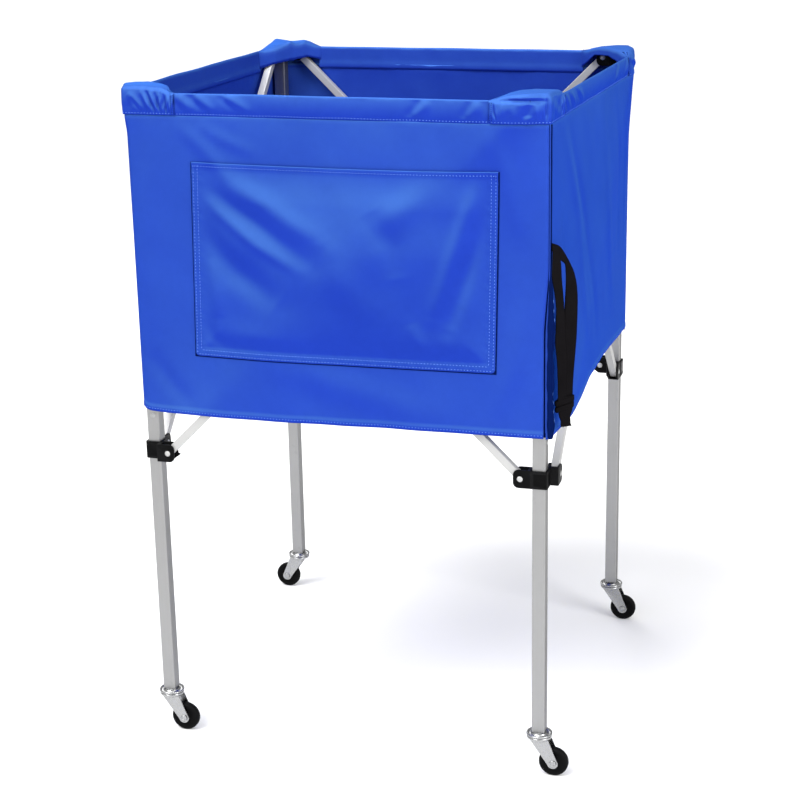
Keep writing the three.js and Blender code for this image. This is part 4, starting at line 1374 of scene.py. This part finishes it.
# A cheek's rounded edge, as (inset from the outline, height off the wheel's side)
CHEEK_EDGE = (
    (0.9, 0.0), (0.2, 0.0), (0.0, 0.6), (0.0, 1.5), (0.3, 2.0), (0.9, 2.2), (1.6, 2.1), (2.2, 1.8),
)


def facing(profile, out, spot):
    """A closed profile of (radius, height) turned about Y, its top towards out along Y."""
    points, faces = lathe(profile, 32, "Y")
    if out > 0:
        points, faces = mirrored(points, faces, 1)
    return points + np.array(spot), faces


def fork_cheek():
    """The pressed cheek at -Y of a fork that trails along +X, with a raised bead round its edge."""
    turns = np.linspace(math.radians(-163), math.radians(7), 40)
    round_eye = EYE_RADIUS * np.column_stack([np.cos(turns), np.sin(turns)])
    eye = np.array([TRAIL, WHEEL_RADIUS]) + round_eye
    # Points stand far enough apart that the innermost ring can't cross itself at the sharp corner
    front = np.linspace(eye[-1], FORK_FRONT, 16)[1:]
    top = np.linspace(FORK_FRONT, FORK_REAR, 5)[1:-1]
    rear = np.linspace(FORK_REAR, eye[0], 9)[:-1]
    outline = np.concatenate([eye, front, top, rear])
    ahead = np.roll(outline, -1, axis=0) - np.roll(outline, 1, axis=0)
    inward = np.column_stack([-ahead[:, 1], ahead[:, 0]])
    inward /= np.linalg.norm(inward, axis=1, keepdims=True)
    rings = []
    for inset, lift in CHEEK_EDGE:
        x, z = (outline + inward * inset).T
        rings.append(np.stack([x, np.full_like(x, -FORK_INNER - lift), z], axis=-1))
    return looped(np.stack(rings), capped=True)


def make_caster(corner):
    x, y = corner_spot(corner)
    trail = -TRAIL if corner == "back_left" else TRAIL
    axle = (x + trail, y, WHEEL_RADIUS)
    piece(
        f"wheel_{corner}_tyre", [lathe(TYRE, 64, "Y")], "wheel rubber", f"wheel_{corner}",
        f"caster_wheel_{corner}", spot=axle, sharp=50,
    )
    cheek = fork_cheek()
    parts = [lathe(CROWN, 56), cheek, mirrored(*cheek, 1)]
    if trail < 0:
        parts = [mirrored(*part, 0) for part in parts]
    piece(
        f"fork_{corner}_plate", parts, "plated steel", f"caster_{corner}",
        f"caster_fork_{corner}", spot=(x, y, 0.0), sharp=40,
    )
    pin = HALF_AXLE + tuple((radius, -height) for radius, height in reversed(HALF_AXLE))
    piece(
        f"axle_{corner}_pin", [lathe(pin, 40, "Y")], "rivet steel", f"caster_{corner}",
        f"caster_axle_{corner}", spot=axle, sharp=50,
    )


def make_stem(corner):
    x, y = corner_spot(corner)
    turns = np.linspace(0, 2 * math.pi, 41)[:-1]
    c, s = np.cos(turns), np.sin(turns)
    rings = []
    for half, height in PLUG:
        reach = np.minimum(half / np.maximum(np.abs(c), np.abs(s)), half * 1.27)
        rings.append(np.column_stack([reach * c, reach * s, np.full_like(c, height)]))
    parts = [lathe(RACE, 56), lathe(STEM_PIN, 32), looped(np.stack(rings), capped=True)]
    piece(
        f"stem_{corner}_race", parts, "plated steel", f"{corner}_post",
        f"caster_stem_{corner}", spot=(x, y, 0.0), sharp=50,
    )


RIVET_HEAD = (
    (0.01, 1.5), (1.6, 1.4), (3.0, 1.0), (4.0, 0.4), (4.4, 0.0), (4.4, -0.2), (0.01, -0.2),
)
BAR_PLANES = {"inner": 308.0, "outer": 320.6}  # from the middle of the cart
CHEEK_OUTER = 9.3  # from a bar's plane to the outer face of a bracket's cheek
LEG_OUTER = 10.1  # from a leg's axis to its face
RIVET_TOP = 1025.0  # height of a bar's upper rivet
LEG_RIVET = 537.0  # height of the rivet across a leg


def make_rivet_heads(side):
    """Domed heads over both ends of the rivets at the ends of one side's two bars."""
    for kind, plane in BAR_PLANES.items():
        low = SLIDER_PIN[0] if kind == "outer" else -SLIDER_PIN[0]
        heads = [
            facing(RIVET_HEAD, out, (place, -plane + out * CHEEK_OUTER, height))
            for place, height in ((low, SLIDER_PIN[1]), (-low, RIVET_TOP))
            for out in (-1, 1)
        ]
        piece(
            f"rivet_heads_{side}_{kind}", heads, "rivet steel", f"{side}_{kind}_bar",
            turns=SIDES.index(side), sharp=50,
        )


def make_leg_rivet(corner):
    """Domed heads over the rivet below the basket."""
    heads = [
        facing(RIVET_HEAD, out, (-LEG_CENTRE, -LEG_CENTRE + out * LEG_OUTER, LEG_RIVET))
        for out in (-1, 1)
    ]
    piece(
        f"leg_rivet_{corner}_heads", heads, "rivet steel", f"{corner}_post",
        turns=CORNERS.index(corner), sharp=50,
    )


def finish_node(node_name, finish):
    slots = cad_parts[node_name].data.materials
    slots.clear()
    slots.append(material(finish))


# Stage

# The camera that the photograph was taken with, as its straight lines tell
CAMERA_SPOT = (842.78, -2750.08, 1361.82)
CAMERA_PITCH = math.radians(16.811)
CAMERA_YAW = math.radians(-16.899)
CAMERA_ROLL = math.radians(-1.085)
CAMERA_FOCUS_PIXELS = 1803.40
IMAGE_PIXELS = 800
IMAGE_CENTRE = (404.894, 397.826)
SENSOR = 36.0


def make_camera():
    c, s = math.cos(CAMERA_YAW), math.sin(CAMERA_YAW)
    flat = math.cos(CAMERA_PITCH)
    ahead = Vector((s * flat, c * flat, -math.sin(CAMERA_PITCH)))
    level = Vector((c, -s, 0))
    up = level.cross(ahead)
    right = level * math.cos(CAMERA_ROLL) + up * math.sin(CAMERA_ROLL)
    top = up * math.cos(CAMERA_ROLL) - level * math.sin(CAMERA_ROLL)
    lens = bpy.data.cameras.new("photo_camera")
    lens.sensor_width = SENSOR
    lens.lens = CAMERA_FOCUS_PIXELS * SENSOR / IMAGE_PIXELS
    half = IMAGE_PIXELS / 2
    lens.shift_x = (half - IMAGE_CENTRE[0]) / IMAGE_PIXELS
    lens.shift_y = (IMAGE_CENTRE[1] - half) / IMAGE_PIXELS
    lens.clip_start, lens.clip_end = 0.05, 200
    made = in_scene("photo_camera", lens)
    axes = Matrix((right, top, -ahead)).transposed().to_4x4()
    axes.translation = Vector(CAMERA_SPOT) * MM
    made.matrix_world = axes
    bpy.context.scene.camera = made


WORLD_STRENGTHS = (0.78, 0.42)  # in front of the cart and behind it
WORLD_ZENITH = 0.25  # more than that straight above
OVERHEAD_SPOT = (-1.3, -2.0, 3.4)

# Soft lights: name, place, what each points at, size in metres and share of the key light's power
LIGHTS = (
    ("key", (-1.6, -3.2, 3.0), (0, 0, 0.6), (2.6, 2.0), 1.0),
    ("side", (3.6, -1.8, 2.2), (0, 0, 0.7), (2.0, 2.2), 3.4),
    ("fill", (-2.2, 3.6, 2.4), (0, 0, 0.7), (2.4, 2.4), 1.6),
    ("inside", (-0.1, -0.25, 2.3), (0.0, 0.35, 0.9), (0.6, 0.6), 0.4),
)


def soft_light(name, spot, aim, size, power):
    lamp = bpy.data.lights.new(name, "AREA")
    lamp.shape = "RECTANGLE"
    lamp.size, lamp.size_y = size
    lamp.energy = power
    made = in_scene(name, lamp)
    made.location = spot
    made.rotation_euler = (Vector(aim) - Vector(spot)).to_track_quat("-Z", "Y").to_euler()


def make_world(scene):
    """A plain sky, brighter in front of the cart than behind it, and brightest above."""
    world = bpy.data.worlds.new("studio")
    world.use_nodes = True
    sky = world.node_tree
    background = sky.nodes["Background"]
    background.inputs["Color"].default_value = (1, 1, 1, 1)
    direction = split(sky, node(sky, "ShaderNodeTexCoord").outputs["Generated"])
    level = map_range(sky, direction["Y"], (-0.5, 0.7), WORLD_STRENGTHS)
    zenith = map_range(sky, direction["Z"], (0.45, 0.95), (0.0, WORLD_ZENITH))
    sky.links.new(maths(sky, "ADD", level, zenith), background.inputs["Strength"])
    scene.world = world
    scene.view_settings.view_transform = "Standard"


def make_stage():
    scene = bpy.context.scene
    settings = scene.ball_cart_stage
    colour = tuple(settings.floor_colour)
    finish, tree, surface, place = blank_material("studio floor", colour, {"Roughness": 0.8})
    drift = drifting(tree, place, colour, 0.6, 0.02)
    tree.links.new(drift["Colour"], surface.inputs["Base Color"])
    half = settings.floor_size / 2
    mesh = bpy.data.meshes.new("studio_floor")
    corners = [(-half, -half, 0), (half, -half, 0), (half, half, 0), (-half, half, 0)]
    mesh.from_pydata(corners, [], [(0, 1, 2, 3)])
    mesh.materials.append(finish)
    in_scene("studio_floor", mesh)

    make_world(scene)
    overhead = bpy.data.lights.new("overhead", "SUN")
    overhead.energy = settings.overhead_strength
    overhead.angle = math.radians(32)
    lamp = in_scene("overhead", overhead)
    lamp.rotation_euler = Vector(OVERHEAD_SPOT).to_track_quat("Z", "Y").to_euler()
    for name, spot, aim, size, share in LIGHTS:
        soft_light(name, spot, aim, size, settings.key_power * share)
    make_camera()


class BALLCART_OT_stage(bpy.types.Operator):
    """Make the pale floor, the soft lights and the camera"""

    bl_idname = "ballcart.stage"
    bl_label = "Stage"

    def execute(self, context):
        make_stage()
        return {"FINISHED"}


class BALLCART_OT_tubes(bpy.types.Operator):
    """Finish the legs, the scissor bars and their rivets"""

    bl_idname = "ballcart.tubes"
    bl_label = "Legs and bars"

    def execute(self, context):
        for corner in CORNERS:
            finish_node(f"leg_{corner}", "leg tube")
            finish_node(f"leg_rivet_{corner}", "rivet steel")
            make_leg_rivet(corner)
        for side in SIDES:
            finish_node(f"bar_{side}_inner", "bar tube")
            finish_node(f"bar_{side}_outer", "bar tube")
            finish_node(f"cross_rivet_{side}", "rivet steel")
            make_rivet_heads(side)
        return {"FINISHED"}


class BALLCART_OT_brackets(bpy.types.Operator):
    """Make the sliders and top brackets with rounded edges"""

    bl_idname = "ballcart.brackets"
    bl_label = "Corner brackets"

    def execute(self, context):
        radius = context.scene.ball_cart_metal.edge_radius
        for corner in CORNERS:
            rounded_copy(f"slider_{corner}", f"slider_{corner}", radius)
            rounded_copy(f"top_bracket_{corner}", f"{corner}_post", radius)
        return {"FINISHED"}


class BALLCART_OT_casters(bpy.types.Operator):
    """Make the wheels, forks and stems of the four casters"""

    bl_idname = "ballcart.casters"
    bl_label = "Casters"

    def execute(self, context):
        for corner in CORNERS:
            make_caster(corner)
            make_stem(corner)
        return {"FINISHED"}


class BALLCART_OT_walls(bpy.types.Operator):
    """Make the four cloth walls with the rim's fold and their stitches"""

    bl_idname = "ballcart.walls"
    bl_label = "Basket walls"

    def execute(self, context):
        for side in SIDES:
            make_wall(side)
        return {"FINISHED"}


class BALLCART_OT_hoods(bpy.types.Operator):
    """Make the cloth gathered over the tops of the four legs"""

    bl_idname = "ballcart.hoods"
    bl_label = "Corner hoods"

    def execute(self, context):
        for corner in CORNERS:
            make_hood(corner)
        return {"FINISHED"}


class BALLCART_OT_pocket(bpy.types.Operator):
    """Make the loose pocket sewn to the front wall"""

    bl_idname = "ballcart.pocket"
    bl_label = "Front pocket"

    def execute(self, context):
        make_pocket()
        return {"FINISHED"}


class BALLCART_OT_floor(bpy.types.Operator):
    """Make the basket's cloth floor in two halves"""

    bl_idname = "ballcart.floor"
    bl_label = "Basket floor"

    def execute(self, context):
        make_floor(True)
        make_floor(False)
        return {"FINISHED"}


class BALLCART_OT_strap(bpy.types.Operator):
    """Make the carrying strap, its keeper and the gathered cloth beside it"""

    bl_idname = "ballcart.strap"
    bl_label = "Carrying strap"

    def execute(self, context):
        make_strap()
        make_corner_gather()
        return {"FINISHED"}


SETTINGS = {
    "ball_cart_cloth": BallCartCloth,
    "ball_cart_metal": BallCartMetal,
    "ball_cart_stage": BallCartStage,
}
STEPS = (
    BALLCART_OT_stage,
    BALLCART_OT_tubes,
    BALLCART_OT_brackets,
    BALLCART_OT_casters,
    BALLCART_OT_walls,
    BALLCART_OT_hoods,
    BALLCART_OT_pocket,
    BALLCART_OT_floor,
    BALLCART_OT_strap,
)


class BALLCART_PT_sidebar(bpy.types.Panel):
    bl_idname = "BALLCART_PT_sidebar"
    bl_label = "Ball cart"
    bl_space_type = "VIEW_3D"
    bl_region_type = "UI"
    bl_category = "Ball cart"

    def draw(self, context):
        for settings in SETTINGS:
            group = getattr(context.scene, settings)
            column = self.layout.column(align=True)
            for name in group.__annotations__:
                column.prop(group, name)
        for step in STEPS:
            self.layout.operator(step.bl_idname)


CLASSES = (*SETTINGS.values(), *STEPS, BALLCART_PT_sidebar)


def register():
    for each in CLASSES:
        bpy.utils.register_class(each)
    for name, group in SETTINGS.items():
        setattr(bpy.types.Scene, name, PointerProperty(type=group))


def unregister():
    for name in SETTINGS:
        delattr(bpy.types.Scene, name)
    for each in reversed(CLASSES):
        bpy.utils.unregister_class(each)


def main():
    register()
    for step in STEPS:
        group, name = step.bl_idname.split(".")
        if getattr(getattr(bpy.ops, group), name)() != {"FINISHED"}:
            raise RuntimeError(f"{step.bl_label} did not finish")
    bpy.context.view_layer.update()


if __name__ == "__main__":
    main()
